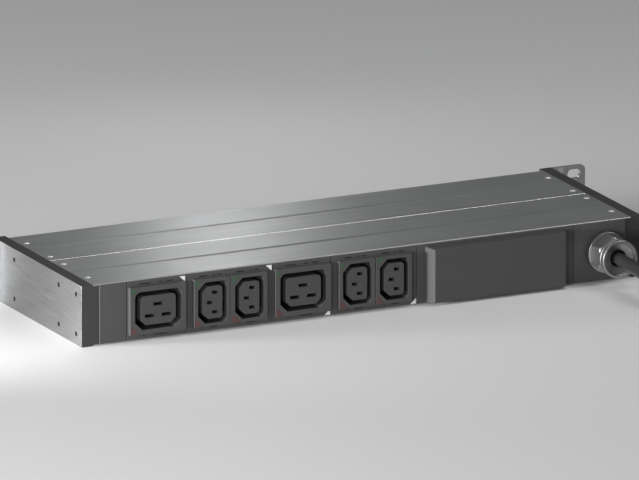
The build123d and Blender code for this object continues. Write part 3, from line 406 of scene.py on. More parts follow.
@dataclass(frozen=True)
class PlatedMetal:
    """Turned and plated metal: faint tool marks, dulled a little by handling."""

    name: str
    colour: Colour = (0.58, 0.555, 0.51)
    roughness: float = 0.22
    along: Along = Along.Y
    metallic: float = 1.0

    def make(self) -> bpy.types.Material:
        """Builds the material."""
        graph = Graph(self.name)
        round_it = tuple(0.03 if scale == 1.0 else 1.0 for scale in self.along.value)
        marks = graph.noise(0.28 * MM, 2.0, round_it)
        handled = graph.noise(5 * MM, 4.0)
        tone = graph.blend(handled.rise(0.4, 0.8) * 0.5, self.colour, toned(self.colour, 0.72))
        rough = (marks - 0.5) * 0.10 + (handled - 0.5) * 0.16 + self.roughness
        return graph.shade(
            Base_Color=tone,
            Metallic=self.metallic,
            Roughness=rough,
            Normal=graph.bump(marks, 0.008 * MM),
        )


@dataclass(frozen=True)
class Rubber:
    """Soft dark sheath or seal with a bloom of dust."""

    name: str
    colour: Colour = (0.018, 0.018, 0.019)
    roughness: float = 0.42
    dust: float = 0.35

    def make(self) -> bpy.types.Material:
        """Builds the material."""
        graph = Graph(self.name)
        skin = graph.noise(0.4 * MM, 3.0)
        bloom = graph.noise(14 * MM, 4.0).rise(0.45, 0.75) * self.dust
        tone = graph.blend(bloom, self.colour, toned(self.colour, 2.4))
        rough = (skin - 0.5) * 0.12 + bloom * 0.25 + self.roughness
        return graph.shade(Base_Color=tone, Roughness=rough, Normal=graph.bump(skin, 0.02 * MM))


@dataclass(frozen=True)
class Lens:
    """Tinted clear moulding that carries a status light to the outlet's corner."""

    name: str
    colour: Colour

    def make(self) -> bpy.types.Material:
        """Builds the material."""
        graph = Graph(self.name)
        depth = graph.noise(1.4 * MM, 2.0)
        tone = graph.blend(depth, toned(self.colour, 0.7), self.colour)
        return graph.shade(
            Base_Color=tone,
            Roughness=(depth - 0.5) * 0.1 + 0.16,
            Coat_Weight=0.6,
        )


@dataclass(frozen=True)
class Glow:
    """Lit display bar, a little uneven along its length."""

    name: str
    colour: Colour = (0.55, 0.90, 1.0)
    strength: float = 1.1

    def make(self) -> bpy.types.Material:
        """Builds the material."""
        graph = Graph(self.name)
        uneven = graph.noise(1.5 * MM, 2.0)
        tone = graph.blend(uneven, toned(self.colour, 0.7), self.colour)
        return graph.shade(
            Base_Color=tone, Roughness=0.4, Emission_Color=tone, Emission_Strength=self.strength
        )


@dataclass(frozen=True)
class Webbing:
    """Woven hook-and-loop tape."""

    name: str
    colour: Colour = (0.02, 0.02, 0.022)
    pitch: float = 0.6 * MM

    def make(self) -> bpy.types.Material:
        """Builds the material."""
        graph = Graph(self.name)
        tufts = graph.node(
            "ShaderNodeTexVoronoi", inputs={"Vector": graph.place(), "Scale": 1.0 / self.pitch}
        )
        tone = graph.blend(tufts.rise(0.1, 0.8), self.colour, toned(self.colour, 2.6))
        normal = graph.bump(1 - tufts, 0.25 * MM)
        return graph.shade(Base_Color=tone, Roughness=0.85, Sheen_Weight=0.3, Normal=normal)


@dataclass(frozen=True)
class Glass:
    """Smoked display window."""

    name: str
    colour: Colour = (0.06, 0.07, 0.08)

    def make(self) -> bpy.types.Material:
        """Builds the material."""
        graph = Graph(self.name)
        wiped = graph.noise(16 * MM, 3.0)
        return graph.shade(
            Base_Color=self.colour, Roughness=wiped * 0.08 + 0.03, Alpha=0.45, Coat_Weight=0.5
        )


ALUMINIUM = BrushedAluminium("profile_aluminium")
PLATE_COAT = TexturedCoat("plate_coating", grey(0.075))
COVER_COAT = TexturedCoat("cover_coating", grey(0.066), grain=0.8 * MM)
OUTLET_PLASTIC = TexturedCoat("outlet_moulding", grey(0.070), 0.46, 0.35 * MM, 0.015 * MM, 0.06)
CORE_PLASTIC = TexturedCoat("island_moulding", grey(0.062), 0.46, 0.35 * MM, 0.015 * MM, 0.04)
# The screw heads are coloured near white, well past the plating's own tone: a painted highlight
# standing in for the glints they catch.
SCREW_STEEL_PAINTED_GLINT = PlatedMetal("screw_zinc_painted_glint", grey(0.92), 0.42, Along.Z, 0.25)
NICKEL = PlatedMetal("nickel_plating", grey(0.46, 0.012), 0.38)
PIN_NICKEL = PlatedMetal("pin_plating", (0.62, 0.61, 0.58), 0.16)
BRASS = PlatedMetal("contact_brass", (0.72, 0.52, 0.24), 0.3)
COPPER = PlatedMetal("bar_copper", (0.70, 0.36, 0.24), 0.3, Along.X)
SHEATH = Rubber("cable_sheath", roughness=0.34)
SEAL = Rubber("seal_rubber")
PLUG_RUBBER = Rubber("plug_moulding", roughness=0.46)
MARKER_WHITE = TexturedCoat("marker_print", grey(0.78, 0.01), 0.55, 0.2 * MM, 0.004 * MM, 0.0)
GREEN_LENS = Lens("green_lens", (0.030, 0.085, 0.042))
RED_LENS = Lens("red_lens", (0.100, 0.030, 0.030))
BLACK_PRINT = TexturedCoat("black_print", grey(0.008), 0.5, 0.2 * MM, 0.002 * MM, 0.0)
DIGIT_GLOW = Glow("digit_glow")
GILT = PlatedMetal("contact_gilt", (0.80, 0.60, 0.25), 0.25)
TIE_TAPE = Webbing("tie_tape")
WINDOW = Glass("display_window_glass")
SCREEN = TexturedCoat("display_screen", (0.012, 0.02, 0.02), 0.25, 0.2 * MM, 0.002 * MM, 0.0)
KEY_PLASTIC = TexturedCoat("key_moulding", grey(0.34), 0.42, 0.3 * MM, 0.01 * MM, 0.08)
SHIELD = PlatedMetal("socket_shield_tin", grey(0.58), 0.28, Along.X)
BOARD = TexturedCoat("board_mask", (0.015, 0.11, 0.045), 0.35, 1.2 * MM, 0.02 * MM, 0.0)
PALE_PLASTIC = TexturedCoat("insulator_moulding", grey(0.55), 0.5, 0.4 * MM, 0.02 * MM, 0.05)
DARK_PLASTIC = TexturedCoat("block_moulding", grey(0.03), 0.5, 0.4 * MM, 0.02 * MM, 0.05)
WIRE_SKIN = TexturedCoat("wire_insulation", (0.16, 0.07, 0.03), 0.45, 0.4 * MM, 0.01 * MM, 0.05)


class Wardrobe:
    """Keeps one material for each finish, and puts it on pieces."""

    def __init__(self) -> None:
        """Starts with no material made."""
        self._made: dict[str, bpy.types.Material] = {}

    def get(self, finish: object) -> bpy.types.Material:
        """The finish's material, made when it is first asked for."""
        if finish.name not in self._made:
            self._made[finish.name] = finish.make()
        return self._made[finish.name]

    def dress(self, piece: bpy.types.Object, finish: object) -> None:
        """Puts one finish on every slot of a piece."""
        material = self.get(finish)
        if not piece.material_slots:
            piece.data.materials.append(material)
        for slot in piece.material_slots:
            slot.material = material


# ------------------------------------------------------------------------------------ mesh helpers
def finish_piece(
    mesh: bmesh.types.BMesh, name: str, smooth: bool = True, sharp: float = 32.0
) -> bpy.types.Object:
    """Turns a bmesh into an object at the origin.

    Args:
        mesh: The shape, which is freed.
        name: The piece's name.
        smooth: Whether faces are shaded smooth, with sharp edges kept.
        sharp: The angle past which an edge stays sharp, in degrees.

    Returns:
        The object, in the scene.
    """
    bmesh.ops.remove_doubles(mesh, verts=mesh.verts, dist=0.001 * MM)
    bmesh.ops.recalc_face_normals(mesh, faces=mesh.faces)
    data = bpy.data.meshes.new(name)
    mesh.to_mesh(data)
    mesh.free()
    if smooth:
        data.shade_smooth()
        data.set_sharp_from_angle(angle=math.radians(sharp))
    piece = bpy.data.objects.new(name, data)
    bpy.context.scene.collection.objects.link(piece)
    return piece


def settle(piece: bpy.types.Object, body: str) -> bpy.types.Object:
    """Makes a piece ride on a body.

    Args:
        piece: The piece.
        body: The body that it moves with.

    Returns:
        The same piece.
    """
    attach(piece, body)
    log.info("%s: %d polygons on %s", piece.name, len(getattr(piece.data, "polygons", ())), body)
    return piece


def turned(outline: Sequence[tuple[float, float]], steps: int) -> bmesh.types.BMesh:
    """Spins an outline a full turn about the local Z axis.

    Args:
        outline: (radius, height) points.
        steps: Segments in the turn.

    Returns:
        The shape.
    """
    mesh = bmesh.new()
    points = [mesh.verts.new((radius, 0, height)) for radius, height in outline]
    edges = [mesh.edges.new(pair) for pair in zip(points, points[1:])]
    bmesh.ops.spin(
        mesh,
        geom=[*points, *edges],
        cent=(0, 0, 0),
        axis=(0, 0, 1),
        angle=math.tau,
        steps=steps,
        use_merge=True,
    )
    bmesh.ops.remove_doubles(mesh, verts=mesh.verts, dist=0.001 * MM)
    return mesh


def soften(
    mesh: bmesh.types.BMesh, width: float, steps: int = 2, sharper_than: float = 30.0
) -> None:
    """Rounds the edges whose faces meet at more than an angle.

    Args:
        mesh: The shape, changed in place.
        width: How far the rounding reaches from each edge.
        steps: Segments across it.
        sharper_than: The angle, in degrees.
    """
    limit = math.radians(sharper_than)
    shared = [edge for edge in mesh.edges if len(edge.link_faces) == 2]
    edges = [edge for edge in shared if edge.calc_face_angle() > limit]
    bmesh.ops.bevel(
        mesh, geom=edges, offset=width, segments=steps, profile=0.5, affect="EDGES", material=-1
    )


def slab(size: Point, place: Point, rounding: float) -> bmesh.types.BMesh:
    """A small block with softened edges.

    Args:
        size: Its three sides.
        place: Its middle.
        rounding: How far the rounding reaches.

    Returns:
        The shape.
    """
    mesh = bmesh.new()
    bmesh.ops.create_cube(mesh, size=1.0)
    bmesh.ops.scale(mesh, vec=size, verts=mesh.verts)
    soften(mesh, rounding)
    bmesh.ops.translate(mesh, vec=place, verts=mesh.verts)
    return mesh


def joined(shapes: Iterable[bmesh.types.BMesh]) -> bmesh.types.BMesh:
    """Puts several shapes in one, and frees them."""
    whole = bmesh.new()
    for shape in shapes:
        data = bpy.data.meshes.new("part")
        shape.to_mesh(data)
        shape.free()
        whole.from_mesh(data)
        bpy.data.meshes.remove(data)
    return whole


def aim(origin: Vector, direction: Vector) -> Matrix:
    """Places local Z along a level direction, with local X level too."""
    z = direction.normalized()
    x = Vector((0, 0, 1)).cross(z).normalized()
    y = z.cross(x)
    turn = Matrix((x, y, z)).transposed()
    return Matrix.Translation(origin) @ turn.to_4x4()


# ------------------------------------------------------------------------------------ cable gland
@dataclass
class GlandNut:
    """Hexagon nut with a collar, a groove and a shallow dish that the cable leaves through.

    Heights run from the nut's inner face out to its mouth.
    """

    across_flats: float = 24.0 * MM
    hexagon: float = 11.8 * MM
    length: float = 20.2 * MM
    bore: float = 10.25 * MM
    bore_depth: float = 10.0 * MM
    throat: float = 5.2 * MM
    collar: float = 13.2 * MM
    groove: float = 12.0 * MM
    collar_lift: float = 0.35 * MM
    collar_top: float = 3.4 * MM
    groove_top: float = 4.2 * MM
    horn: float = 13.5 * MM
    dish: float = 11.7 * MM
    dish_depth: float = 3.4 * MM
    chamfer_start: float = 12.3 * MM
    chamfer_angle: float = 60.0
    chamfer_reach: float = 1.0 * MM
    sides: int = 96
    rings: int = 5

    def hexagon_shell(self) -> bmesh.types.BMesh:
        """The hexagon, chamfered at both ends: a ringed drum, pressed in to its flats."""
        corner = self.across_flats / 2 / math.cos(math.pi / 6)
        near = [self.chamfer_reach * ring / self.rings for ring in range(self.rings + 1)]
        heights = [*near, self.hexagon / 2, *(self.hexagon - height for height in reversed(near))]
        walls = [(corner, height) for height in heights]
        seat = 2 * self.throat
        outline = [(self.bore, 0), (self.chamfer_start, 0), *walls, (seat, self.hexagon)]
        outline += [(seat, self.bore_depth), (self.bore, self.bore_depth), (self.bore, 0)]
        mesh = turned(outline, self.sides)
        rise = math.tan(math.radians(self.chamfer_angle))
        for vert in mesh.verts:
            radius = math.hypot(vert.co.x, vert.co.y)
            if radius > self.chamfer_start:
                turn = math.atan2(vert.co.y, vert.co.x) + math.pi / 6
                from_flat = turn % (math.pi / 3) - math.pi / 6
                flat = self.across_flats / 2 / math.cos(from_flat)
                edge = min(vert.co.z, self.hexagon - vert.co.z)
                share = min(flat, self.chamfer_start + edge * rise) / radius
                vert.co.x *= share
                vert.co.y *= share
        return mesh

    def horn_shell(self) -> bmesh.types.BMesh:
        """The collar, the groove, and the horn with its dish and throat."""
        foot, top = self.hexagon, self.length
        root, inner = foot - 2.0 * MM, self.groove - 1.2 * MM
        outline = [
            (self.throat, root),
            (inner, root),
            (inner, foot + self.collar_lift),
            (self.collar, foot + self.collar_lift),
            (self.collar, foot + self.collar_top),
            (self.groove, foot + self.collar_top),
            (self.groove, foot + self.groove_top),
            (self.horn, foot + self.groove_top),
            (self.horn, top),
            (self.dish, top),
            (self.dish - 0.9 * MM, top - 0.5 * self.dish_depth),
            (0.5 * (self.dish + self.throat), top - 0.85 * self.dish_depth),
            (self.throat + 0.9 * MM, top - self.dish_depth),
            (self.throat, top - self.dish_depth - 1.6 * MM),
            (self.throat, root),
        ]
        mesh = turned(outline, self.sides)
        bmesh.ops.recalc_face_normals(mesh, faces=mesh.faces)
        soften(mesh, 0.55 * MM, 3, 40.0)
        return mesh

    def make(self, wardrobe: Wardrobe) -> bpy.types.Object:
        """Builds the nut in place of its node.

        Args:
            wardrobe: Where its finish comes from.

        Returns:
            The nut.
        """
        low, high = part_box("gland_nut")
        middle = (low + high) / 2
        mesh = joined((self.hexagon_shell(), self.horn_shell()))
        place = aim(Vector((middle.x, high.y, middle.z)), Vector((0, -1, 0)))
        bmesh.ops.transform(mesh, matrix=place, verts=mesh.verts)
        nut = finish_piece(mesh, "gland_nut_turned", sharp=24.0)
        wardrobe.dress(nut, NICKEL)
        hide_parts("gland_nut")
        return settle(nut, "gland_nut")


# ------------------------------------------------------------------------------------ mains plug
@dataclass
class MainsPlug:
    """Round earthed plug: ribbed strain relief, fluted grip, and a contact in each side groove.

    Local Z runs from the cable into the plug.
    """

    origin: Point = (0.3026, -0.0786, 0.0195)
    before: Point = (0.3068, -0.1023, 0.0195)
    cable: float = 9.0 * MM
    neck: float = 7.0 * MM
    neck_length: float = 16.0 * MM
    rib_depth: float = 1.1 * MM
    shoulder_rise: float = 7.0 * MM
    shoulder_steps: int = 8
    grip_steps: int = 20
    face_edge: float = 0.9 * MM
    length: float = 52.0 * MM
    waist: float = 14.0 * MM
    radius: float = 19.5 * MM
    groove_width: float = 6.0 * MM
    groove_depth: float = 2.2 * MM
    groove_length: float = 19.0 * MM
    ribs: int = 5
    flutes: int = 30
    flute_depth: float = 0.55 * MM
    sides: int = 120

    def outline(self) -> list[tuple[float, float]]:
        """The body's profile, from the cable's end to its face."""
        points = [(0.0, 0.0), (self.cable / 2 + 0.4 * MM, 0.0)]
        pitch = self.neck_length / self.ribs
        thin = self.cable / 2 + 0.9 * MM
        for rib in range(self.ribs):
            crest = thin + (self.neck - self.cable / 2 - 0.9 * MM) * (rib + 1) / self.ribs
            foot = rib * pitch
            points += [(crest, foot + 0.15 * pitch), (crest, foot + 0.68 * pitch)]
            valley = crest - self.rib_depth
            points += [(valley, foot + 0.76 * pitch), (valley, foot + pitch)]
        shoulder, rim = self.neck_length, self.length
        for step in range(1, self.shoulder_steps + 1):
            angle = 0.5 * math.pi * step / self.shoulder_steps
            width = self.neck + (self.waist - self.neck) * math.sin(angle)
            points.append((width, shoulder + self.shoulder_rise * (1 - math.cos(angle))))
        for step in range(1, self.grip_steps + 1):
            share = step / self.grip_steps
            swell = math.sin(0.5 * math.pi * min(1.0, share * 1.6))
            width = self.waist + (self.radius - self.waist) * swell
            height = shoulder + self.shoulder_rise + share * (rim - shoulder - 8.5 * MM)
            points.append((width, height))
        edge = self.face_edge
        points += [(self.radius, rim - edge), (self.radius - edge, rim), (0.0, rim)]
        return points

    def body(self) -> bmesh.types.BMesh:
        """The moulding, with flutes pressed into its grip and the two earth grooves."""
        mesh = turned(self.outline(), self.sides)
        groove_floor = self.radius - self.groove_depth
        groove_start = self.length - self.groove_length
        low, high = self.neck_length + 9.0 * MM, groove_start - 1.0 * MM
        for vert in mesh.verts:
            radius = math.hypot(vert.co.x, vert.co.y)
            if low < vert.co.z < high and radius > self.waist:
                turn = math.atan2(vert.co.y, vert.co.x)
                fade = min(1.0, (vert.co.z - low) / (2 * MM), (high - vert.co.z) / (2 * MM))
                flute = 0.5 + 0.5 * math.cos(self.flutes * turn)
                share = 1 - self.flute_depth * fade * flute / radius
                vert.co.x *= share
                vert.co.y *= share
            inside = abs(vert.co.x) < self.groove_width / 2 and vert.co.z > groove_start
            if inside and abs(vert.co.y) > groove_floor:
                vert.co.y = math.copysign(groove_floor, vert.co.y)
        return mesh

    def make(self, wardrobe: Wardrobe) -> list[bpy.types.Object]:
        """Builds the plug in place of its node.

        Args:
            wardrobe: Where its finishes come from.

        Returns:
            The body and its contacts.
        """
        place = aim(Vector(self.origin), Vector(self.origin) - Vector(self.before))
        mesh = self.body()
        bmesh.ops.transform(mesh, matrix=place, verts=mesh.verts)
        body = finish_piece(mesh, "plug_moulding", sharp=40.0)
        wardrobe.dress(body, PLUG_RUBBER)
        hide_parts("plug_body")
        settle(body, HOUSING)
        depth = self.radius - self.groove_depth
        size = (4.2 * MM, 0.9 * MM, self.groove_length - 2.0 * MM)
        height = self.length - self.groove_length / 2 - 0.5 * MM
        reach = depth + 0.35 * MM
        clips = joined(slab(size, (0, side * reach, height), 0.4 * MM) for side in (-1, 1))
        bmesh.ops.transform(clips, matrix=place, verts=clips.verts)
        contacts = finish_piece(clips, "plug_earth_contacts")
        wardrobe.dress(contacts, PIN_NICKEL)
        return [body, settle(contacts, HOUSING)]


# ------------------------------------------------------------------------------------ supply cable
@dataclass
class SupplyCable:
    """The cable from the gland to its plug: a free run, a tied coil and a short tail."""

    diameter: float = 9.0 * MM
    length: float = 2.50
    lead: Sequence[Point] = (
        (0.1857, -0.0840, 0.0218),
        (0.1857, -0.1340, 0.0218),
        (0.1893, -0.1700, 0.0080),
    )
    tail: Sequence[Point] = (
        (0.3140, -0.1293, 0.0145),
        (0.3068, -0.1023, 0.0195),
        (0.3026, -0.0786, 0.0195),
    )
    coil_centre: tuple[float, float] = (0.262, -0.178)
    coil_radius: float = 65.5 * MM
    coil_floor: float = 5.5 * MM
    turns_in: float = 3.6
    turns_up: float = 0.3
    turns_out: float = 3.6
    start_angle: float = 200.0
    points_per_turn: int = 16
    skin_sides: int = 10
    tie_thickness: float = 0.9 * MM
    tie_bend: float = 4.6 * MM

    def coil_points(self) -> list[Point]:
        """The coil's turns: in along the lower layer, up, and out along the upper one."""
        total = self.turns_in + self.turns_up + self.turns_out
        count = round(total * self.points_per_turn)
        points = []
        for step in range(count + 1):
            done = total * step / count
            inward = min(done, self.turns_in)
            outward = max(0.0, done - self.turns_in - self.turns_up)
            climb = min(1.0, max(0.0, (done - self.turns_in) / self.turns_up))
            radius = self.coil_radius - self.diameter * (inward - outward)
            angle = math.radians(self.start_angle + 360.0 * done)
            x = self.coil_centre[0] + radius * math.cos(angle)
            y = self.coil_centre[1] + radius * math.sin(angle)
            points.append((x, y, self.coil_floor + self.diameter * climb))
        return points

    def make_tie(self, wardrobe: Wardrobe) -> bpy.types.Object:
        """Builds the tape round the coil, with its free end laid over it.

        Args:
            wardrobe: Where its finish comes from.

        Returns:
            The tie.
        """
        low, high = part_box("cord_tie")
        middle, size = (low + high) / 2, high - low
        loop = bmesh.new()
        bmesh.ops.create_cube(loop, size=1.0)
        bmesh.ops.scale(loop, vec=size, verts=loop.verts)
        corners = [e for e in loop.edges if abs(e.verts[0].co.x - e.verts[1].co.x) > 0.5 * size.x]
        bmesh.ops.bevel(
            loop,
            geom=corners,
            offset=self.tie_bend,
            segments=7,
            profile=0.5,
            affect="EDGES",
            material=-1,
        )
        ends = [face for face in loop.faces if abs(face.normal.x) > 0.9]
        bmesh.ops.delete(loop, geom=ends, context="FACES_ONLY")
        bmesh.ops.solidify(loop, geom=loop.faces[:], thickness=self.tie_thickness)
        bmesh.ops.translate(loop, vec=middle, verts=loop.verts)
        tail_size = (size.x, 0.55 * size.y, self.tie_thickness)
        tail_place = (middle.x, middle.y - 0.02 * size.y, high.z + 0.4 * self.tie_thickness)
        tail = slab(tail_size, tail_place, 0.3 * MM)
        tie = finish_piece(joined((loop, tail)), "tie_tape_loop")
        wardrobe.dress(tie, TIE_TAPE)
        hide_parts("cord_tie")
        return settle(tie, HOUSING)

    def make_cord(self, wardrobe: Wardrobe) -> bpy.types.Object:
        """Args:
            wardrobe: Where its finish comes from.

        Returns:
            The curve.
        """
        route = [*self.lead, *self.coil_points(), *self.tail]
        data = bpy.data.curves.new("supply_cable", "CURVE")
        data.dimensions = "3D"
        data.bevel_depth = self.diameter / 2
        data.bevel_resolution = self.skin_sides
        data.use_fill_caps = True
        spline = data.splines.new("NURBS")
        spline.points.add(len(route) - 1)
        for point, place in zip(spline.points, route):
            point.co = (*place, 1.0)
        spline.order_u = 3
        spline.use_endpoint_u = True
        cord = bpy.data.objects.new("supply_cable", data)
        bpy.context.scene.collection.objects.link(cord)
        wardrobe.dress(cord, SHEATH)
        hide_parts("supply_cord", "cord_coil")
        return settle(cord, HOUSING)

    def make(self, wardrobe: Wardrobe) -> None:
        """Builds the cable and what is on it.

        Args:
            wardrobe: Where the finishes come from.
        """
        cord = self.make_cord(wardrobe)
        plug = MainsPlug().make(wardrobe)
        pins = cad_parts["plug_pins"]
        wardrobe.dress(pins, PIN_NICKEL)
        tie = self.make_tie(wardrobe)


# ------------------------------------------------------------------------------------ studio
@dataclass(frozen=True)
class LightPanel:
    """One soft rectangular light."""

    name: str
    place: Point
    target: Point
    size: tuple[float, float]
    watts: float
    spread: float = 180.0


LIGHTS = (
    LightPanel("side_light", (-2.40, -0.30, 0.34), (-0.10, 0.0, 0.02), (0.60, 0.35), 115.0),
    LightPanel("end_light", (-0.55, 0.02, 0.03), (-0.2155, -0.085, 0.005), (0.06, 0.03), 0.2, 40.0),
    LightPanel("front_light", (-1.2, -1.3, 0.30), (-0.05, 0.0, 0.02), (0.7, 0.5), 14.0),
    LightPanel("overhead_light", (0.62, -0.30, 1.25), (0.0, 0.0, 0.04), (0.25, 1.1), 4.5),
    LightPanel("card_light", (0.15, 0.47, 0.29), (-0.10, -0.05, 0.04), (0.09, 0.11), 0.085),
    LightPanel("low_card_light", (0.14, 0.47, 0.22), (-0.10, -0.05, 0.04), (0.07, 0.07), 0.035),
)


@dataclass
class Studio:
    """Pale floor, soft lights and the camera."""

    azimuth: float = 25.76
    elevation: float = 15.19
    picture_width: int = 639
    pixels_per_metre: float = 1438.4
    lens: float = 1200.0
    sensor: float = 36.0
    aim_right: float = -0.35 * MM
    aim_up: float = 33.2 * MM
    floor_size: float = 6.0
    floor_tone: Colour = (0.80, 0.80, 0.80)
    world_tone: Colour = (0.97, 0.99, 1.0)
    world_strength: float = 0.13

    def make_camera(self) -> None:
        """Puts a long lens far away, on the strip's outlet side and to its left."""
        turn, tilt = math.radians(self.azimuth), math.radians(self.elevation)
        forward = Vector(
            (math.sin(turn) * math.cos(tilt), math.cos(turn) * math.cos(tilt), -math.sin(tilt))
        )
        right = Vector((math.cos(turn), -math.sin(turn), 0))
        up = right.cross(forward)
        distance = self.picture_width / self.pixels_per_metre * self.lens / self.sensor
        data = bpy.data.cameras.new("camera")
        data.lens = self.lens
        data.sensor_width = self.sensor
        data.clip_start = 0.1
        data.clip_end = 2 * distance
        camera = bpy.data.objects.new("camera", data)
        camera.matrix_world = Matrix.Translation(
            self.aim_right * right + self.aim_up * up - distance * forward
        ) @ Matrix((right, up, -forward)).transposed().to_4x4()
        bpy.context.scene.collection.objects.link(camera)
        bpy.context.scene.camera = camera

    def make_light(self, panel: LightPanel) -> None:
        """Adds a soft rectangular light.

        Args:
            panel: Its name, place, aim, size and power.
        """
        data = bpy.data.lights.new(panel.name, "AREA")
        data.shape = "RECTANGLE"
        data.size, data.size_y = panel.size
        data.energy = panel.watts
        data.spread = math.radians(panel.spread)
        lamp = bpy.data.objects.new(panel.name, data)
        lamp.location = panel.place
        beam = Vector(panel.target) - Vector(panel.place)
        lamp.rotation_euler = beam.to_track_quat("-Z", "Y").to_euler()
        bpy.context.scene.collection.objects.link(lamp)

    def make_floor(self, wardrobe: Wardrobe) -> None:
        """Lays the floor under the strip."""
        mesh = bmesh.new()
        bmesh.ops.create_grid(mesh, x_segments=1, y_segments=1, size=self.floor_size / 2)
        floor = finish_piece(mesh, "floor", smooth=False)
        card = TexturedCoat("floor_card", self.floor_tone, 0.55, 1.0 * MM, 0.002 * MM, 0.0)
        wardrobe.dress(floor, card)

    def make_world(self) -> None:
        """Fills the room with even light."""
        world = bpy.data.worlds.new("room")
        world.use_nodes = True
        sky = world.node_tree.nodes["Background"]
        sky.inputs["Color"].default_value = (*self.world_tone, 1.0)
        sky.inputs["Strength"].default_value = self.world_strength
        bpy.context.scene.world = world

    def make(self, wardrobe: Wardrobe) -> None:
        """Builds the whole studio."""
        self.make_camera()
        self.make_floor(wardrobe)
        self.make_world()
        for panel in LIGHTS:
            self.make_light(panel)
        bpy.context.scene.view_settings.view_transform = "Standard"


# ------------------------------------------------------------------------------------ small details
@dataclass
class OutletMarks:
    """Pad-printed dashes above and below each outlet."""

    outlets: Sequence[str] = (
        "c19_shroud_1",
        "c19_shroud_2",
        *(f"c13_shroud_{number}" for number in range(1, 5)),
    )
    above: Sequence[tuple[float, float]] = ((-0.20, 0.20), (0.08, 0.06), (0.24, 0.10))
    below: Sequence[tuple[float, float]] = ((-0.22, 0.05), (0.08, 0.22))
    height: float = 0.75 * MM
    thickness: float = 0.05 * MM
    away: float = 1.3 * MM

    def make(self, wardrobe: Wardrobe) -> bpy.types.Object:
        """Builds all the marks as one print.

        Args:
            wardrobe: Where its finish comes from.

        Returns:
            The print.
        """
        dashes = []
        for outlet in self.outlets:
            low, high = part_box(outlet)
            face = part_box("c19_plate_1")[0].y
            width = high.x - low.x
            for row, z in ((self.above, high.z + self.away), (self.below, low.z - self.away)):
                for offset, share in row:
                    middle = ((low.x + high.x) / 2 + offset * width, face - self.thickness / 2, z)
                    size = (share * width, self.thickness, self.height)
                    dashes.append(slab(size, middle, 0.02 * MM))
        marks = finish_piece(joined(dashes), "outlet_marks", smooth=False)
        wardrobe.dress(marks, BLACK_PRINT)
        return settle(marks, HOUSING)


class Segment(Enum):
    """A bar of a seven-bar digit: its middle and whether it lies flat, in half digit heights."""

    TOP = (0.0, 1.0, True)
    MIDDLE = (0.0, 0.0, True)
    BOTTOM = (0.0, -1.0, True)
    UPPER_LEFT = (-0.5, 0.5, False)
    UPPER_RIGHT = (0.5, 0.5, False)
    LOWER_LEFT = (-0.5, -0.5, False)
    LOWER_RIGHT = (0.5, -0.5, False)


LIT = {
    "1": (Segment.UPPER_RIGHT, Segment.LOWER_RIGHT),
    "2": (Segment.TOP, Segment.UPPER_RIGHT, Segment.MIDDLE, Segment.LOWER_LEFT, Segment.BOTTOM),
    "4": (Segment.UPPER_LEFT, Segment.UPPER_RIGHT, Segment.MIDDLE, Segment.LOWER_RIGHT),
}


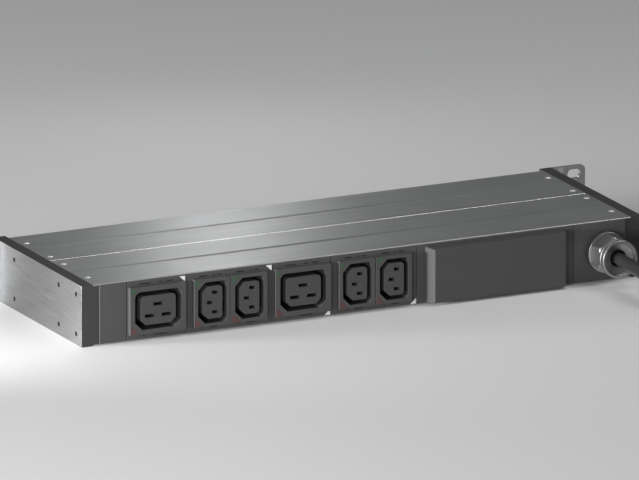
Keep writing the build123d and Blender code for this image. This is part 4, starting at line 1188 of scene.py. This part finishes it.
@dataclass
class FrontFace:
    """What shows on the rack side: the lit digits, the keys' symbols and the port's contacts."""

    reading: str = "1.24"
    digit_half: float = 4.4 * MM
    digit_pitch: float = 9.0 * MM
    bar: float = 1.1 * MM
    bar_thickness: float = 0.2 * MM
    symbol: float = 1.7 * MM
    symbol_thickness: float = 0.1 * MM
    ring_hole: float = 0.6
    contact_count: int = 8
    contact_pitch: float = 1.02 * MM
    contact_lean: float = -16.0

    def make_digits(self, wardrobe: Wardrobe) -> None:
        """Lights the reading on the display."""
        low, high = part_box("display_module")
        front, middle = high.y + self.bar_thickness / 2, (low.z + high.z) / 2
        x = (low.x + high.x) / 2 + self.digit_pitch
        long = 0.86 * self.digit_half
        flat_size = (long, self.bar_thickness, self.bar)
        upright_size = (self.bar, self.bar_thickness, long)
        bars = []
        for sign in self.reading:
            if sign == ".":
                size = (self.bar, self.bar_thickness, self.bar)
                dot = (x + 0.5 * self.digit_pitch, front, middle - self.digit_half)
                bars.append(slab(size, dot, 0.05 * MM))
                continue
            for across, up, flat in (segment.value for segment in LIT[sign]):
                at = (x - across * self.digit_half, front, middle + up * self.digit_half)
                bars.append(slab(flat_size if flat else upright_size, at, 0.09 * MM))
            x -= self.digit_pitch
        digits = finish_piece(joined(bars), "display_digits", smooth=False)
        wardrobe.dress(digits, DIGIT_GLOW)
        settle(digits, HOUSING)

    def make_symbols(self, wardrobe: Wardrobe) -> None:
        """Raises an arrow on the two arrow keys and a ring on the third."""
        arrow, ring = 3, 32
        symbols = (("key_up", arrow, 0.0), ("key_down", arrow, 180.0), ("key_enter", ring, 0.0))
        for key, sides, turn in symbols:
            low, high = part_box(key)
            mesh = bmesh.new()
            filled = sides == arrow
            bmesh.ops.create_circle(mesh, cap_ends=filled, segments=sides, radius=self.symbol)
            if not filled:
                bmesh.ops.create_circle(mesh, segments=sides, radius=self.ring_hole * self.symbol)
                bmesh.ops.bridge_loops(mesh, edges=mesh.edges[:])
            bmesh.ops.recalc_face_normals(mesh, faces=mesh.faces)
            bmesh.ops.solidify(mesh, geom=mesh.faces[:], thickness=self.symbol_thickness)
            bottom = min(vert.co.z for vert in mesh.verts)
            bmesh.ops.translate(mesh, vec=(0, 0, -bottom), verts=mesh.verts)
            centre = Vector(((low.x + high.x) / 2, high.y, (low.z + high.z) / 2))
            place = aim(centre, Vector((0, 1, 0)))
            spin = Matrix.Rotation(math.radians(turn), 4, "Z")
            bmesh.ops.transform(mesh, matrix=place @ spin, verts=mesh.verts)
            symbol = finish_piece(mesh, f"{key}_symbol", smooth=False)
            wardrobe.dress(symbol, MARKER_WHITE)
            settle(symbol, key)

    def make_contacts(self, wardrobe: Wardrobe) -> None:
        """Slants the gilt spring contacts down into the network port."""
        low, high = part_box("network_socket")
        middle = (low + high) / 2
        wires = []
        for number in range(self.contact_count):
            x = middle.x + (number - (self.contact_count - 1) / 2) * self.contact_pitch
            wire = slab((0.42 * MM, 8.5 * MM, 0.32 * MM), (0, 0, 0), 0.1 * MM)
            lean = Matrix.Rotation(math.radians(self.contact_lean), 4, "X")
            place = Matrix.Translation((x, high.y - 7.5 * MM, middle.z + 2.2 * MM)) @ lean
            bmesh.ops.transform(wire, matrix=place, verts=wire.verts)
            wires.append(wire)
        contacts = finish_piece(joined(wires), "port_contacts", smooth=False)
        wardrobe.dress(contacts, GILT)
        settle(contacts, HOUSING)

    def make(self, wardrobe: Wardrobe) -> None:
        """Builds all three."""
        self.make_digits(wardrobe)
        self.make_symbols(wardrobe)
        self.make_contacts(wardrobe)


# ------------------------------------------------------------------------------------ the strip
@dataclass
class PowerStrip:
    """The strip's own nodes, each with its finish."""

    finishes: Sequence[tuple[object, str]] = (
        (ALUMINIUM, "rear_profile front_profile"),
        (SCREW_STEEL_PAINTED_GLINT, "housing_screws"),
        (
            PLATE_COAT,
            "blank_plate c19_plate_1 c19_plate_2 c13_plate_1 c13_plate_2 cover_plate "
            "gland_plate front_panel",
        ),
        (COVER_COAT, "connection_cover"),
        (MARKER_WHITE, "bank_markers"),
        (GREEN_LENS, "green_light_pipes"),
        (RED_LENS, "red_light_pipes"),
        (
            OUTLET_PLASTIC,
            "c19_shroud_1 c19_shroud_2 c13_shroud_1 c13_shroud_2 c13_shroud_3 c13_shroud_4",
        ),
        (CORE_PLASTIC, "c19_cores c13_cores"),
        (BRASS, "c19_contacts c13_contacts"),
        (COPPER, "neutral_bus_bar earth_bus_bar line_bus_bar"),
        (PALE_PLASTIC, "bus_bar_holders terminal_block"),
        (SHIELD, "earth_stud board_standoffs network_socket"),
        (WIRE_SKIN, "cable_cores internal_wires"),
        (SEAL, "wire_grommets gland_washer gland_seal"),
        (BOARD, "power_board control_board"),
        (DARK_PLASTIC, "relays current_sensors power_supply key_switches"),
        (WINDOW, "display_window"),
        (SCREEN, "display_module"),
        (KEY_PLASTIC, "key_up key_down key_enter"),
        (NICKEL, "gland_body gland_locknut"),
    )

    def make(self, wardrobe: Wardrobe) -> None:
        """Dresses the nodes."""
        face_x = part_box("right_bracket")[1].x - (PANEL_WIDTH - BODY_WIDTH) / 2
        bracket = BracketMetal("bracket_metal", face_x)
        for name in ("left_bracket", "right_bracket"):
            wardrobe.dress(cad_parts[name], bracket)
        for finish, names in self.finishes:
            for name in names.split():
                wardrobe.dress(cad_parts[name], finish)


def main() -> None:
    """Builds the studio, the cable and the strip."""
    logging.basicConfig(level=logging.INFO, format="%(name)s %(message)s")
    wardrobe = Wardrobe()
    Studio().make(wardrobe)
    SupplyCable().make(wardrobe)
    PowerStrip().make(wardrobe)
    GlandNut().make(wardrobe)
    OutletMarks().make(wardrobe)
    FrontFace().make(wardrobe)


if __name__ == "__main__":
    main()
